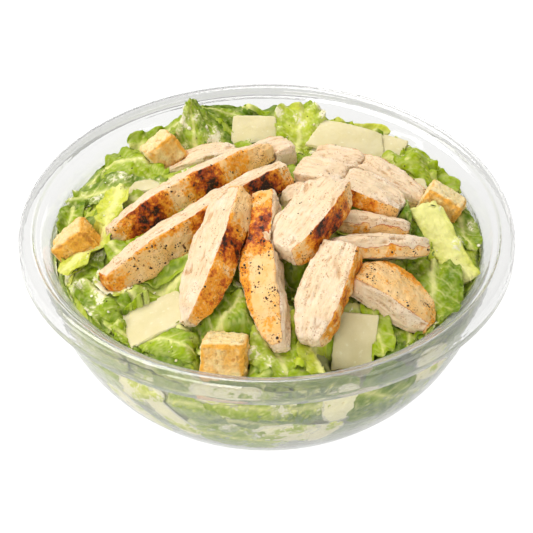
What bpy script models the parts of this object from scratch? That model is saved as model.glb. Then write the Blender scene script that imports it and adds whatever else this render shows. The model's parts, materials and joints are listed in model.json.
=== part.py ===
"""Chicken caesar salad in its clear plastic bowl.

The bowl is one thin turned sheet: a flat base, a round wall, a narrow neck, a cone that
seats a lid, and a rolled flange. The salad is one heap that fills the bowl and gives way
under what lies on it: sliced grilled chicken, croutons and shavings of hard cheese.
The origin is the middle of the base, +Z is up, and the front of the dish faces -Y.
"""

import math
import random

import bmesh
import bpy
import numpy as np
from mathutils import Vector

MM = 0.001

# The bowl
RIM_RADIUS = 92.5 * MM          # to the outside of the flange's skirt
SKIRT_HEIGHT = 60.0 * MM        # of the neck, and nearly of the skirt's lower edge
SHEET = 0.6 * MM                # thickness of the plastic
BASE_RADIUS = 50.0 * MM         # of the flat that it stands on
WALL_WIDEST = 0.910 * RIM_RADIUS
WALL_NARROWEST = 0.259 * RIM_RADIUS
WALL_DEPTH = 0.725 * RIM_RADIUS
WALL_POWER = 2.067
BOWL_SEGMENTS = 36              # round the bowl

# The heap
HEAP_EDGE = 54.5 * MM           # height of the leaves along the wall
HEAP_EDGE_LOW = 51.0 * MM       # lowest and highest that they reach there
HEAP_EDGE_HIGH = 58.0 * MM
HEAP_MIDDLE = 71.0 * MM         # height of the leaves under the chicken
HEAP_SEGMENTS = 48              # round the heap
HEAP_RINGS = 12                 # from its middle to the wall
GAP = 0.35 * MM                 # between things that touch
PLAIN_GAP = 0.80 * MM           # the same, measured out from the corners of a cage
WALL_GAP = 0.6 * MM             # between the heap and the wall
BEDDING = 2.0 * MM              # how far a piece sinks into the leaves
RIPPLE = 1.3 * MM               # of the leaves all over the heap

# Leaves that stand out of the heap: x, y, rise, half length, half width (mm), turn (degrees)
LEAVES = {
    "tall_coated_leaf": (-29, 61, 18, 13, 7, 115),
    "dark_back_leaf": (-12, 64, 12, 13, 6, 5),
    "ruffled_back_leaf": (14, 61, 14, 12, 8, 20),
    "pale_back_strip": (40, 56, 8, 11, 6, -20),
    "ruffled_right_leaf": (54, 38, 12, 15, 10, -45),
    "inner_right_leaf": (50, -3, 5, 9, 6, -60),
    "outer_right_leaf": (71, -1, 6, 12, 6, 85),
    "romaine_rib": (62, -16, 8, 18, 6, -62),
    "low_right_leaf": (62, -38, 5, 13, 9, -60),
    "front_right_leaf": (38, -58, 5, 10, 9, -75),
    "front_middle_leaf": (-6, -60, 6, 18, 10, 25),
    "front_left_curls": (-32, -64, 4, 12, 7, -25),
    "low_left_leaf": (-61, -37, 4, 12, 9, -50),
    "long_left_rib": (-66, -10, 6, 24, 6, 65),
    "upper_left_leaf": (-52, 33, 9, 17, 10, 30),
    "outer_left_leaf": (-67, 14, 5, 12, 7, 60),
}

# Places where the leaves leave a gap: x, y, depth, radius (mm)
HOLLOWS = {
    "before_front_crouton": (-14, -80, 9, 8),
    "under_long_slices": (-39, -36, 7, 7),
    "between_front_slices": (9, -41, 8, 7),
    "beside_right_rib": (57, -24, 5, 6),
}

# Slices of chicken, top ones first. Each: middle (mm); length, width, thickness (mm);
# roll, pitch, yaw (degrees); bow across and arch up (mm); how pointed the two ends are.
SLICES = {
    "chicken_top": ((16, -23, 84), (38, 19, 12), (8, -14, -126), (0, 0.5), (0.35, 0.15)),
    "chicken_front_left": ((-19, -35, 75.5), (56, 19, 11), (38, -24, -109), (1.5, 1), (0.3, 0.75)),
    "chicken_front_middle": ((1.5, -41, 75), (63, 14, 12), (22, -21, -84), (-3.5, 1), (0.1, 0.55)),
    "chicken_front_right": ((21, -51, 72.5), (39, 17, 11), (2, -25, -110), (-1, 0.5), (0.15, 0.45)),
    "chicken_right_lower": ((40, -27, 74), (38, 14, 9), (-38, -10, 14), (0, 0.5), (0.3, 0.2)),
    "chicken_front_long": ((-25, -12, 71.5), (84, 12, 13), (-24, 11, 36), (-1, 2), (0.2, 0.25)),
    "chicken_left_long": ((-28, 8, 72), (74, 10, 12.5), (-28, 8, 35), (1, 2), (0.25, 0.4)),
    "chicken_middle_back": ((20.5, 12, 77), (19, 14, 9), (0, 0, -18), (0, 0), (0.1, 0.1)),
    "chicken_right_upper": ((39, 2, 75.5), (25, 17, 8), (-6, -14, -23), (0, 0.5), (0.1, 0.45)),
    "chicken_right_middle": ((39, -11, 71.5), (28, 11, 9), (-30, -8, -2), (0, 0), (0.2, 0.3)),
    "chicken_inner": ((11.5, 4, 74.5), (14, 11, 8), (0, 5, 34), (0, 0), (0.2, 0.2)),
    "chicken_right_front": ((44, -46.5, 66), (33, 20, 11), (-8, -25, -24), (3, 1), (0.2, 0.5)),
    "chicken_back_short": ((27, 29, 71), (20, 13, 9), (0, 0, -22), (0, 0), (0.2, 0.1)),
    "chicken_back_right": ((45, 19.5, 68), (36, 13, 10), (-8, -7, -38), (0, 1), (0.2, 0.2)),
    "chicken_back_end": ((1, 31.5, 71), (20, 14, 11), (-10, 7, 31), (0, 0), (0.1, 0.2)),
    "chicken_left_back": ((-26.5, 36.5, 65), (31, 12, 9), (-10, 8, 18), (0, 1), (0.3, 0.3)),
}

# Croutons: middle (mm); three sides (mm); roll, pitch, yaw (degrees)
CROUTONS = {
    "crouton_back_left": ((-40.5, 39, 69), (14, 12.5, 12), (-20, 24, 30)),
    "crouton_left": ((-70, -10.5, 62), (15, 14, 13), (-15, 35, 12)),
    "crouton_right": ((65, 6, 67.5), (15, 13, 13), (-18, -22, -24)),
    "crouton_front": ((-14.5, -68, 57), (16, 15, 17), (-22, 3, -6)),
    "crouton_sunk": ((25, -68.5, 42), (14, 13, 13), (25, 6, 20)),
}

# Shavings of cheese: middle (mm); length, width, thickness (mm); roll, pitch, yaw (degrees);
# how far the far side is shorter than the near one, and the rise of the curl (mm)
SHAVINGS = {
    "cheese_front_left": ((-39, -50.5, 60.5), (25, 18, 1.8), (-4, 14, 22), 0.05, 0.6),
    "cheese_front_right": ((30.5, -61.5, 55), (27, 15, 1.8), (2, -50, -98), 0.0, 0.5),
    "cheese_back": ((-5, 51.5, 68.5), (19, 15, 1.8), (34, 2, -4), 0.1, 0.6),
    "cheese_back_right": ((32, 45.5, 69.5), (32, 14, 1.8), (16, -8, -12), 0.25, 1.0),
    "cheese_back_edge": ((48, 44, 66.5), (13, 13, 1.8), (10, -5, -20), 0.1, 0.4),
    "cheese_left": ((-46.5, 17, 68), (17, 9, 1.8), (-10, 8, 6), 0.6, 0.3),
    "cheese_right": ((56, 18, 67.5), (10, 8, 1.8), (5, 0, 4), 0.1, 0.2),
}
SUNK = ("crouton_sunk",)        # pieces that the leaves lie over


def clear_scene():
    """Remove every object that the file opened with."""
    for thing in list(bpy.data.objects):
        bpy.data.objects.remove(thing, do_unlink=True)


def collection(name):
    """A new collection in the scene."""
    made = bpy.data.collections.new(name)
    bpy.context.scene.collection.children.link(made)
    return made


def finish(name, colour, roughness, transmission=0.0):
    """A plain Principled material."""
    made = bpy.data.materials.new(name)
    made.use_nodes = True
    shader = made.node_tree.nodes["Principled BSDF"]
    shader.inputs["Base Color"].default_value = (*colour, 1.0)
    shader.inputs["Roughness"].default_value = roughness
    shader.inputs["Metallic"].default_value = 0.0
    shader.inputs["Transmission Weight"].default_value = transmission
    return made


def place(name, mesh, group, material):
    """An object that carries a mesh, in a collection, with its material."""
    made = bpy.data.objects.new(name, mesh)
    mesh.materials.append(material)
    group.objects.link(made)
    return made


def to_mesh(shape, name):
    """A mesh from a bmesh, which is freed."""
    made = bpy.data.meshes.new(name)
    shape.to_mesh(made)
    shape.free()
    return made


def turn(thing, middle, angles):
    """Put an object at a place in millimetres, with roll, pitch and yaw in degrees."""
    roll, pitch, yaw = (math.radians(angle) for angle in angles)
    thing.location = Vector(middle) * MM
    thing.rotation_euler = (roll, -pitch, yaw)


def subdivision(thing):
    """One smoothing level, the same in the viewport and the render."""
    smooth = thing.modifiers.new("Smooth", "SUBSURF")
    smooth.levels = 1
    smooth.render_levels = 1


# ---------------------------------------------------------------- bowl

def wall_outside(height):
    """Radius of the wall's outer face at a height: a quarter of a superellipse."""
    depth = (SKIRT_HEIGHT - height) / WALL_DEPTH
    swell = (1.0 - depth ** WALL_POWER) ** (1.0 / WALL_POWER)
    return WALL_NARROWEST + (WALL_WIDEST - WALL_NARROWEST) * swell


def bowl_inside():
    """Radius and height along the sheet's upper face, from the base's middle to the skirt."""
    line = [(0.0, SHEET), (BASE_RADIUS - 1.5 * MM, SHEET)]
    line.append((BASE_RADIUS + 3.5 * MM, 2.2 * MM))
    for height in (6.0, 11.5, 18.0, 25.5, 34.0, 42.5):
        line.append((wall_outside(height * MM) - SHEET, height * MM))
    neck = SKIRT_HEIGHT
    line += [
        (81.3 * MM, neck - 11.0 * MM),
        (80.5 * MM, neck - 5.0 * MM),
        (80.0 * MM, neck - 0.5 * MM),      # neck
        (84.2 * MM, neck + 4.0 * MM),      # top of the cone
        (86.0 * MM, neck + 4.2 * MM),      # narrow ledge
        (86.8 * MM, neck + 6.5 * MM),      # step
        (89.3 * MM, neck + 7.2 * MM),      # crest of the flange
        (91.2 * MM, neck + 6.3 * MM),
        (92.2 * MM, neck + 4.4 * MM),      # shoulder
        (RIM_RADIUS, neck + 2.5 * MM),
        (RIM_RADIUS, neck - 1.0 * MM),     # skirt's lower edge
    ]
    return line


def offset_line(line, distance):
    """The line moved to its right, with mitred corners."""
    points = [Vector(point) for point in line]
    sides = []
    for start, end in zip(points, points[1:]):
        along = (end - start).normalized()
        sides.append(Vector((along.y, -along.x)))
    before = [sides[0]] + sides
    after = sides + [sides[-1]]
    moved = []
    for point, first, second in zip(points, before, after):
        moved.append(point + distance * (first + second) / (1.0 + first.dot(second)))
    return moved


def build_bowl(group):
    """The clear bowl: its section turned about the upright axis."""
    upper = [Vector(point) for point in bowl_inside()]
    under = offset_line(upper, SHEET)
    under[0].x = 0.0
    section = upper + under[::-1]
    shape = bmesh.new()
    corners = [shape.verts.new((point.x, 0.0, point.y)) for point in section]
    for start, end in zip(corners, corners[1:]):
        shape.edges.new((start, end))
    plastic = finish("clear_plastic", (0.90, 0.92, 0.91), 0.06, 1.0)
    bowl = place("bowl", to_mesh(shape, "bowl"), group, plastic)
    lathe = bowl.modifiers.new("Turn", "SCREW")
    lathe.axis = "Z"
    lathe.steps = BOWL_SEGMENTS
    lathe.render_steps = BOWL_SEGMENTS
    lathe.use_merge_vertices = True
    lathe.merge_threshold = 0.00001
    lathe.use_smooth_shade = True
    return bowl


# ---------------------------------------------------------------- pieces on the salad

def cut_cage(cuts):
    """A unit cube, with cuts across its length."""
    shape = bmesh.new()
    bmesh.ops.create_cube(shape, size=1.0)
    long_edges = [e for e in shape.edges if abs(e.verts[0].co.x - e.verts[1].co.x) > 0.5]
    bmesh.ops.subdivide_edges(shape, edges=long_edges, cuts=cuts, use_grid_fill=True)
    return shape


def crease_edges(shape, along, across):
    """Crease the edges along the length, and those round the two ends."""
    layer = shape.edges.layers.float.new("crease_edge")
    for edge in shape.edges:
        start, end = edge.verts
        if abs(start.co.x - end.co.x) > 0.01:
            edge[layer] = along
        elif abs(start.co.x) > 0.49:
            edge[layer] = across


def build_slice(name, place_and_shape, group, material):
    """A slice of breast: a bar with two cut faces and a seared edge, bowed and tapered."""
    middle, size, angles, (bow, arch), tips = place_and_shape
    length, width, thickness = (side * MM for side in size)
    shape = cut_cage(3)
    crease_edges(shape, 0.75, 0.45)
    for corner in shape.verts:
        along = 2.0 * corner.co.x
        tip = tips[0] if along < 0.0 else tips[1]
        narrowed = 1.0 - tip * abs(along) ** 3
        thinned = 1.0 - 0.5 * tip * abs(along) ** 3
        belly = 1.0 - along * along
        corner.co = Vector((
            0.5 * length * along,
            width * corner.co.y * narrowed + bow * MM * belly,
            thickness * corner.co.z * thinned + arch * MM * belly,
        ))
    made = place(name, to_mesh(shape, name), group, material)
    turn(made, middle, angles)
    subdivision(made)
    return made


def build_crouton(name, place_and_shape, group, material, draw):
    """A cube of toasted bread with uneven sides and soft edges."""
    middle, size, angles = place_and_shape
    shape = bmesh.new()
    bmesh.ops.create_cube(shape, size=1.0)
    for corner in shape.verts:
        uneven = Vector([1.0 + draw.uniform(-0.07, 0.07) for _ in range(3)])
        corner.co = Vector([co * side * MM * u for co, side, u in zip(corner.co, size, uneven)])
    made = place(name, to_mesh(shape, name), group, material)
    turn(made, middle, angles)
    bevel = made.modifiers.new("Soft edges", "BEVEL")
    bevel.width = 1.8 * MM
    bevel.segments = 2
    return made


def build_shaving(name, place_and_shape, group, material):
    """A thin curled plate of hard cheese, shorter along its far side."""
    middle, size, angles, shorter, curl = place_and_shape
    length, width, thickness = (side * MM for side in size)
    shape = cut_cage(3)
    for corner in shape.verts:
        along = 2.0 * corner.co.x
        side = corner.co.y + 0.5
        corner.co = Vector((
            0.5 * length * along * (1.0 - shorter * side),
            width * corner.co.y,
            thickness * corner.co.z + curl * MM * (1.0 - along * along),
        ))
    made = place(name, to_mesh(shape, name), group, material)
    turn(made, middle, angles)
    return made


# ---------------------------------------------------------------- fitting things together

def swollen_copy(thing, cutters, plain=False):
    """A hidden copy of a piece, larger all round by the gap, to cut others with.

    A plain one is the cage alone, without its smoothing or soft edges.
    """
    copy = thing.copy()
    copy.name = thing.name + ("_plain_cutter" if plain else "_cutter")
    cutters.objects.link(copy)
    if plain:
        copy.modifiers.clear()
    swell = copy.modifiers.new("Swell", "DISPLACE")
    swell.strength = PLAIN_GAP if plain else GAP
    swell.mid_level = 0.0
    copy.hide_render = True
    copy.display_type = "WIRE"
    return copy


def box_of(thing):
    """Lowest and highest corners of a piece in the world."""
    corners = [thing.matrix_world @ Vector(corner) for corner in thing.bound_box]
    lowest = [min(corner[axis] for corner in corners) for axis in range(3)]
    highest = [max(corner[axis] for corner in corners) for axis in range(3)]
    return lowest, highest


def boxes_meet(one, other):
    """Whether the boxes of two pieces overlap."""
    (low_a, high_a), (low_b, high_b) = box_of(one), box_of(other)
    return all(low_a[i] < high_b[i] and low_b[i] < high_a[i] for i in range(3))


def cut_with(thing, cutter, solver):
    """Take a cutter out of a piece."""
    cut = thing.modifiers.new("Cut " + cutter.name, "BOOLEAN")
    cut.operation = "DIFFERENCE"
    cut.object = cutter
    cut.solver = solver


def islands(shape):
    """The separate bodies of a bmesh, as lists of faces."""
    left = set(shape.faces)
    found = []
    while left:
        body = [left.pop()]
        for face in body:
            for edge in face.edges:
                for neighbour in edge.link_faces:
                    if neighbour in left:
                        left.remove(neighbour)
                        body.append(neighbour)
        found.append(body)
    return found


def settle(thing):
    """Apply the cuts of a piece and drop the crumbs that they left."""
    evaluated = thing.evaluated_get(bpy.context.evaluated_depsgraph_get())
    mesh = bpy.data.meshes.new_from_object(evaluated)
    shape = bmesh.new()
    shape.from_mesh(mesh)
    bodies = sorted(islands(shape), key=lambda body: sum(face.calc_area() for face in body))
    crumbs = [face for body in bodies[:-1] for face in body]
    bmesh.ops.delete(shape, geom=crumbs, context="FACES")
    shape.to_mesh(mesh)
    shape.free()
    thing.modifiers.clear()
    thing.data = mesh


# ---------------------------------------------------------------- heap

def leaf_rise(x, y):
    """How far the standing leaves lift the heap at a place, and the gaps lower it."""
    rise = 0.0
    for leaf_x, leaf_y, height, half_length, half_width, angle in LEAVES.values():
        across_x, across_y = x / MM - leaf_x, y / MM - leaf_y
        cos, sin = math.cos(math.radians(angle)), math.sin(math.radians(angle))
        along = (across_x * cos + across_y * sin) / half_length
        across = (across_y * cos - across_x * sin) / half_width
        rise = max(rise, height * MM * math.exp(-(along ** 4 + across ** 2)))
    for hollow_x, hollow_y, depth, radius in HOLLOWS.values():
        away = math.hypot(x / MM - hollow_x, y / MM - hollow_y) / radius
        rise -= depth * MM * math.exp(-away ** 4)
    return rise


def ripple(x, y):
    """The small folds of the leaves."""
    u, v = x / MM, y / MM
    folds = math.sin(0.33 * u + 1.7 * math.sin(0.11 * v)) * math.cos(0.29 * v + 0.9 * math.sin(0.17 * u))
    return RIPPLE * (folds + 0.5 * math.sin(0.61 * u - 0.47 * v))


def heap_height(x, y, edge):
    """Height of the leaves at a place, before anything is laid on them."""
    out = min(math.hypot(x, y) / edge, 1.0)
    dome = HEAP_EDGE + (HEAP_MIDDLE - HEAP_EDGE) * (1.0 - out ** 2.2)
    return dome + leaf_rise(x, y) + ripple(x, y)


def lowest_hit(pieces, x, y):
    """The underside of the lowest piece that lies over a place, or None."""
    hits = []
    up = Vector((0.0, 0.0, 1.0))
    for thing, inverse, bedding in pieces:
        origin = inverse @ Vector((x, y, 0.0))
        towards = (inverse.to_3x3() @ up).normalized()
        hit, point, _, _ = thing.ray_cast(origin, towards)
        if hit:
            hits.append((thing.matrix_world @ point).z + bedding)
    return min(hits) if hits else None


def build_heap(group, material, resting):
    """The tossed salad: a ball drawn out to the bowl's inside, with a leafy top."""
    inside = [point for point in bowl_inside() if point[1] < SKIRT_HEIGHT]
    radii = [radius for radius, _ in inside[1:]]
    heights = [height for _, height in inside[1:]]
    flank = inside[-3::-2]          # every other point of the wall, from the edge down
    edge_radius = 80.0 * MM - WALL_GAP
    rings = HEAP_RINGS + len(flank) + 1
    pieces = []
    for thing in resting:
        bedding = 0.5 * MM if thing.name in SHAVINGS else BEDDING
        pieces.append((thing, thing.matrix_world.inverted(), bedding))
    shape = bmesh.new()
    bmesh.ops.create_uvsphere(shape, u_segments=HEAP_SEGMENTS, v_segments=rings, radius=1.0)
    for corner in shape.verts:
        ring = round(math.acos(max(-1.0, min(1.0, corner.co.z))) / math.pi * rings)
        angle = math.atan2(corner.co.y, corner.co.x)
        if ring <= HEAP_RINGS:
            radius = edge_radius * ring / HEAP_RINGS
            x, y = radius * math.cos(angle), radius * math.sin(angle)
            height = heap_height(x, y, edge_radius)
            under = lowest_hit(pieces, x, y)
            if under is not None:
                height = min(height, under)
            if ring == HEAP_RINGS:
                height = max(min(height, HEAP_EDGE_HIGH), HEAP_EDGE_LOW)
                radius = np.interp(height, heights, radii) - WALL_GAP
        elif ring == rings:
            radius, height = 0.0, SHEET + WALL_GAP
        else:
            radius, height = flank[ring - HEAP_RINGS - 1]
            radius -= WALL_GAP
            height = max(height, SHEET + WALL_GAP)
        corner.co = (radius * math.cos(angle), radius * math.sin(angle), height)
    return place("salad", to_mesh(shape, "salad"), group, material)


# ---------------------------------------------------------------- the whole dish

def main():
    """Build the bowl, what lies on the salad, and the heap under it."""
    clear_scene()
    dish = collection("chicken_caesar_salad")
    cutters = collection("cutters")
    draw = random.Random(7)
    meat = finish("grilled_chicken", (0.80, 0.55, 0.33), 0.45)
    bread = finish("toasted_bread", (0.86, 0.55, 0.22), 0.70)
    cheese = finish("hard_cheese", (0.86, 0.84, 0.58), 0.40)
    leaf = finish("dressed_lettuce", (0.33, 0.52, 0.10), 0.35)

    build_bowl(dish)
    slices = [build_slice(name, shape, dish, meat) for name, shape in SLICES.items()]
    breads = [build_crouton(name, shape, dish, bread, draw) for name, shape in CROUTONS.items()]
    shavings = [build_shaving(name, shape, dish, cheese) for name, shape in SHAVINGS.items()]
    bpy.context.view_layer.update()

    pieces = slices + breads + shavings
    heap = build_heap(dish, leaf, [p for p in pieces if p.name not in SUNK])
    copies = {thing.name: swollen_copy(thing, cutters) for thing in pieces}
    plain_copies = [swollen_copy(thing, cutters, plain=True) for thing in pieces]
    bpy.context.view_layer.update()
    order = slices[:5] + breads + shavings + slices[5:]
    for rank, thing in enumerate(order):
        for upper in order[:rank]:
            if boxes_meet(thing, upper):
                cut_with(thing, copies[upper.name], "EXACT")
    for copy in plain_copies:
        cut_with(heap, copy, "MANIFOLD")    # EXACT fails on this many cuts
    for thing in order + [heap]:
        settle(thing)


main()
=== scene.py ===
"""Looks of a chicken caesar salad in its clear plastic bowl, laid out as a Blender add-on.

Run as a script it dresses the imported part: the bowl becomes a clear turned sheet, the heap
becomes real leaves over a smaller core, and every slice, crouton and shaving gets its own
fine mesh and finish. All lengths in the tables are millimetres and all angles degrees.
"""

import json
import math

import bmesh
import bpy
import numpy as np
from mathutils import Euler, Matrix, Vector
from mathutils.bvhtree import BVHTree

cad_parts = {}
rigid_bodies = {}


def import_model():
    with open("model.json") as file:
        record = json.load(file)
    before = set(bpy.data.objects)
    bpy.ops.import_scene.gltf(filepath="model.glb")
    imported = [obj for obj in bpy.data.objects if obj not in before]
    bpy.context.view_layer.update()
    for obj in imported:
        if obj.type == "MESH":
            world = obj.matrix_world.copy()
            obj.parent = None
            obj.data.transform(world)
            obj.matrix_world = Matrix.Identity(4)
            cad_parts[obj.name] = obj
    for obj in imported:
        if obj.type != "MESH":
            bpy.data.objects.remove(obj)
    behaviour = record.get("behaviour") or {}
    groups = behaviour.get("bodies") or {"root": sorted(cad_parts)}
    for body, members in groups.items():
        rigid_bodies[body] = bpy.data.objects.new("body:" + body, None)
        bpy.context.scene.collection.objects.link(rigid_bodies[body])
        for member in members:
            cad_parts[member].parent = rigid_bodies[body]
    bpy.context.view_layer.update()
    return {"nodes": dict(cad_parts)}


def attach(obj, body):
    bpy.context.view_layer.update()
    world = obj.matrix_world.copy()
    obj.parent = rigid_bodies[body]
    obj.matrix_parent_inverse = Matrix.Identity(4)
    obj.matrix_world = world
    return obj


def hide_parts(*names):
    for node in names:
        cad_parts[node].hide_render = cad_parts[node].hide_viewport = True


bl_info = {
    "name": "Chicken caesar salad",
    "version": (1, 0, 0),
    "blender": (4, 5, 0),
    "location": "View3D > Sidebar > Salad",
    "description": "Clear bowl, dressed leaves, grilled chicken, croutons and shaved cheese",
    "category": "Object",
}

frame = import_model()
MM = 0.001
TAU = 2.0 * math.pi

# Slices of chicken as the solids have them: middle, (length, width, thickness),
# (roll, pitch, yaw), (bow across, arch up), how pointed the two ends are; then the sides
# that were against the grill, and the charred spots on them: where along the slice
# (-1 to 1), how wide and how dark.
SLICES = {
    "chicken_top": ((16, -23, 84), (38, 19, 12), (8, -14, -126), (0, 0.5), (0.35, 0.15),
                    "+y", ((0.12, 0.42, 1.0), (-0.5, 0.15, 0.7))),
    "chicken_front_left": ((-19, -35, 75.5), (56, 19, 11), (38, -24, -109), (1.5, 1), (0.3, 0.75),
                           "+y-x", ((-0.1, 0.22, 1.0), (0.5, 0.3, 0.55))),
    "chicken_front_middle": ((1.5, -41, 75), (63, 14, 12), (22, -21, -84), (-3.5, 1), (0.1, 0.55),
                             "+z", ((-0.45, 0.24, 0.9), (0.75, 0.15, 0.15))),
    "chicken_front_right": ((21, -51, 72.5), (39, 17, 11), (2, -25, -110), (-1, 0.5), (0.15, 0.45),
                            "+y", ((-0.6, 0.3, 0.5), (0.05, 0.16, 0.8), (0.6, 0.25, 0.45))),
    "chicken_right_lower": ((40, -27, 74), (38, 14, 9), (-38, -10, 14), (0, 0.5), (0.3, 0.2),
                            "-y", ((0.1, 0.1, 0.3),)),
    "chicken_front_long": ((-25, -12, 71.5), (84, 12, 13), (-24, 11, 36), (-1, 2), (0.2, 0.25),
                           "-y-x", ((0.66, 0.18, 1.0), (-0.02, 0.08, 0.8), (-0.95, 0.10, 0.55))),
    "chicken_left_long": ((-28, 8, 72), (74, 10, 12.5), (-28, 8, 35), (1, 2), (0.25, 0.4),
                          "-y", ((-0.58, 0.22, 1.0), (0.16, 0.16, 1.0), (0.55, 0.1, 0.4))),
    "chicken_middle_back": ((20.5, 12, 77), (19, 14, 9), (0, 0, -18), (0, 0), (0.1, 0.1),
                            "+y", ()),
    "chicken_right_upper": ((39, 2, 75.5), (25, 17, 8), (-6, -14, -23), (0, 0.5), (0.1, 0.45),
                            "-y", ((-0.6, 0.35, 0.9), (0.1, 0.25, 0.5))),
    "chicken_right_middle": ((39, -11, 71.5), (28, 11, 9), (-30, -8, -2), (0, 0), (0.2, 0.3),
                             "-y", ((-0.4, 0.2, 0.3),)),
    "chicken_inner": ((11.5, 4, 74.5), (14, 11, 8), (0, 5, 34), (0, 0), (0.2, 0.2),
                      "-y", ((-0.3, 0.3, 0.5),)),
    "chicken_right_front": ((44, -46.5, 66), (33, 20, 11), (-8, -25, -24), (3, 1), (0.2, 0.5),
                            "+z+x", ((0.95, 0.1, 0.3),)),
    "chicken_back_short": ((27, 29, 71), (20, 13, 9), (0, 0, -22), (0, 0), (0.2, 0.1),
                           "+y", ()),
    "chicken_back_right": ((45, 19.5, 68), (36, 13, 10), (-8, -7, -38), (0, 1), (0.2, 0.2),
                           "+y", ()),
    "chicken_back_end": ((1, 31.5, 71), (20, 14, 11), (-10, 7, 31), (0, 0), (0.1, 0.2),
                         "+y", ((0.2, 0.3, 0.3),)),
    "chicken_left_back": ((-26.5, 36.5, 65), (31, 12, 9), (-10, 8, 18), (0, 1), (0.3, 0.3),
                          "+y-x", ()),
}

# Slices whose ends are rounder than the rest: how far the start and the end draw in
ROUNDED_ENDS = {
    "chicken_top": (0.08, 0.34),
    "chicken_front_right": (0.05, 0.10),
    "chicken_front_left": (0.10, 0.10),
    "chicken_front_middle": (0.05, 0.10),
    "chicken_right_front": (0.10, 0.32),
}

# Slices that were seared only below a height on their side (-1 bottom to 1 top)
HALF_SEARED = {"chicken_right_lower": -0.15, "chicken_right_middle": 0.0}

# Croutons: middle, three sides, (roll, pitch, yaw), how brown (0 to 1)
CROUTONS = {
    "crouton_back_left": ((-40.5, 39, 69), (14, 12.5, 12), (-20, 24, 30), 0.08),
    "crouton_left": ((-70, -10.5, 62), (15, 14, 13), (-15, 35, 12), 0.42),
    "crouton_right": ((65, 6, 67.5), (15, 13, 13), (-18, -22, -24), 0.05),
    "crouton_front": ((-14.5, -68, 57), (16, 15, 17), (-22, 3, -6), 0.08),
    "crouton_sunk": ((25, -68.5, 42), (14, 13, 13), (25, 6, 20), 0.05),
}

# Shavings of cheese: middle, (length, width, thickness), (roll, pitch, yaw), how far the
# far side is shorter than the near one, and the rise of the curl
SHAVINGS = {
    "cheese_front_left": ((-39, -50.5, 60.5), (25, 18, 1.8), (-4, 14, 22), 0.05, 0.6),
    "cheese_front_right": ((30.5, -61.5, 55), (27, 15, 1.8), (2, -50, -98), 0.0, 0.5),
    "cheese_back": ((-5, 51.5, 68.5), (19, 15, 1.8), (34, 2, -4), 0.1, 0.6),
    "cheese_back_right": ((32, 45.5, 69.5), (32, 14, 1.8), (16, -8, -12), 0.25, 1.0),
    "cheese_back_edge": ((48, 44, 66.5), (13, 13, 1.8), (10, -5, -20), 0.1, 0.4),
    "cheese_left": ((-46.5, 17, 68), (17, 9, 1.8), (-10, 8, 6), 0.6, 0.3),
    "cheese_right": ((56, 18, 67.5), (10, 8, 1.8), (5, 0, 4), 0.1, 0.2),
}

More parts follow.
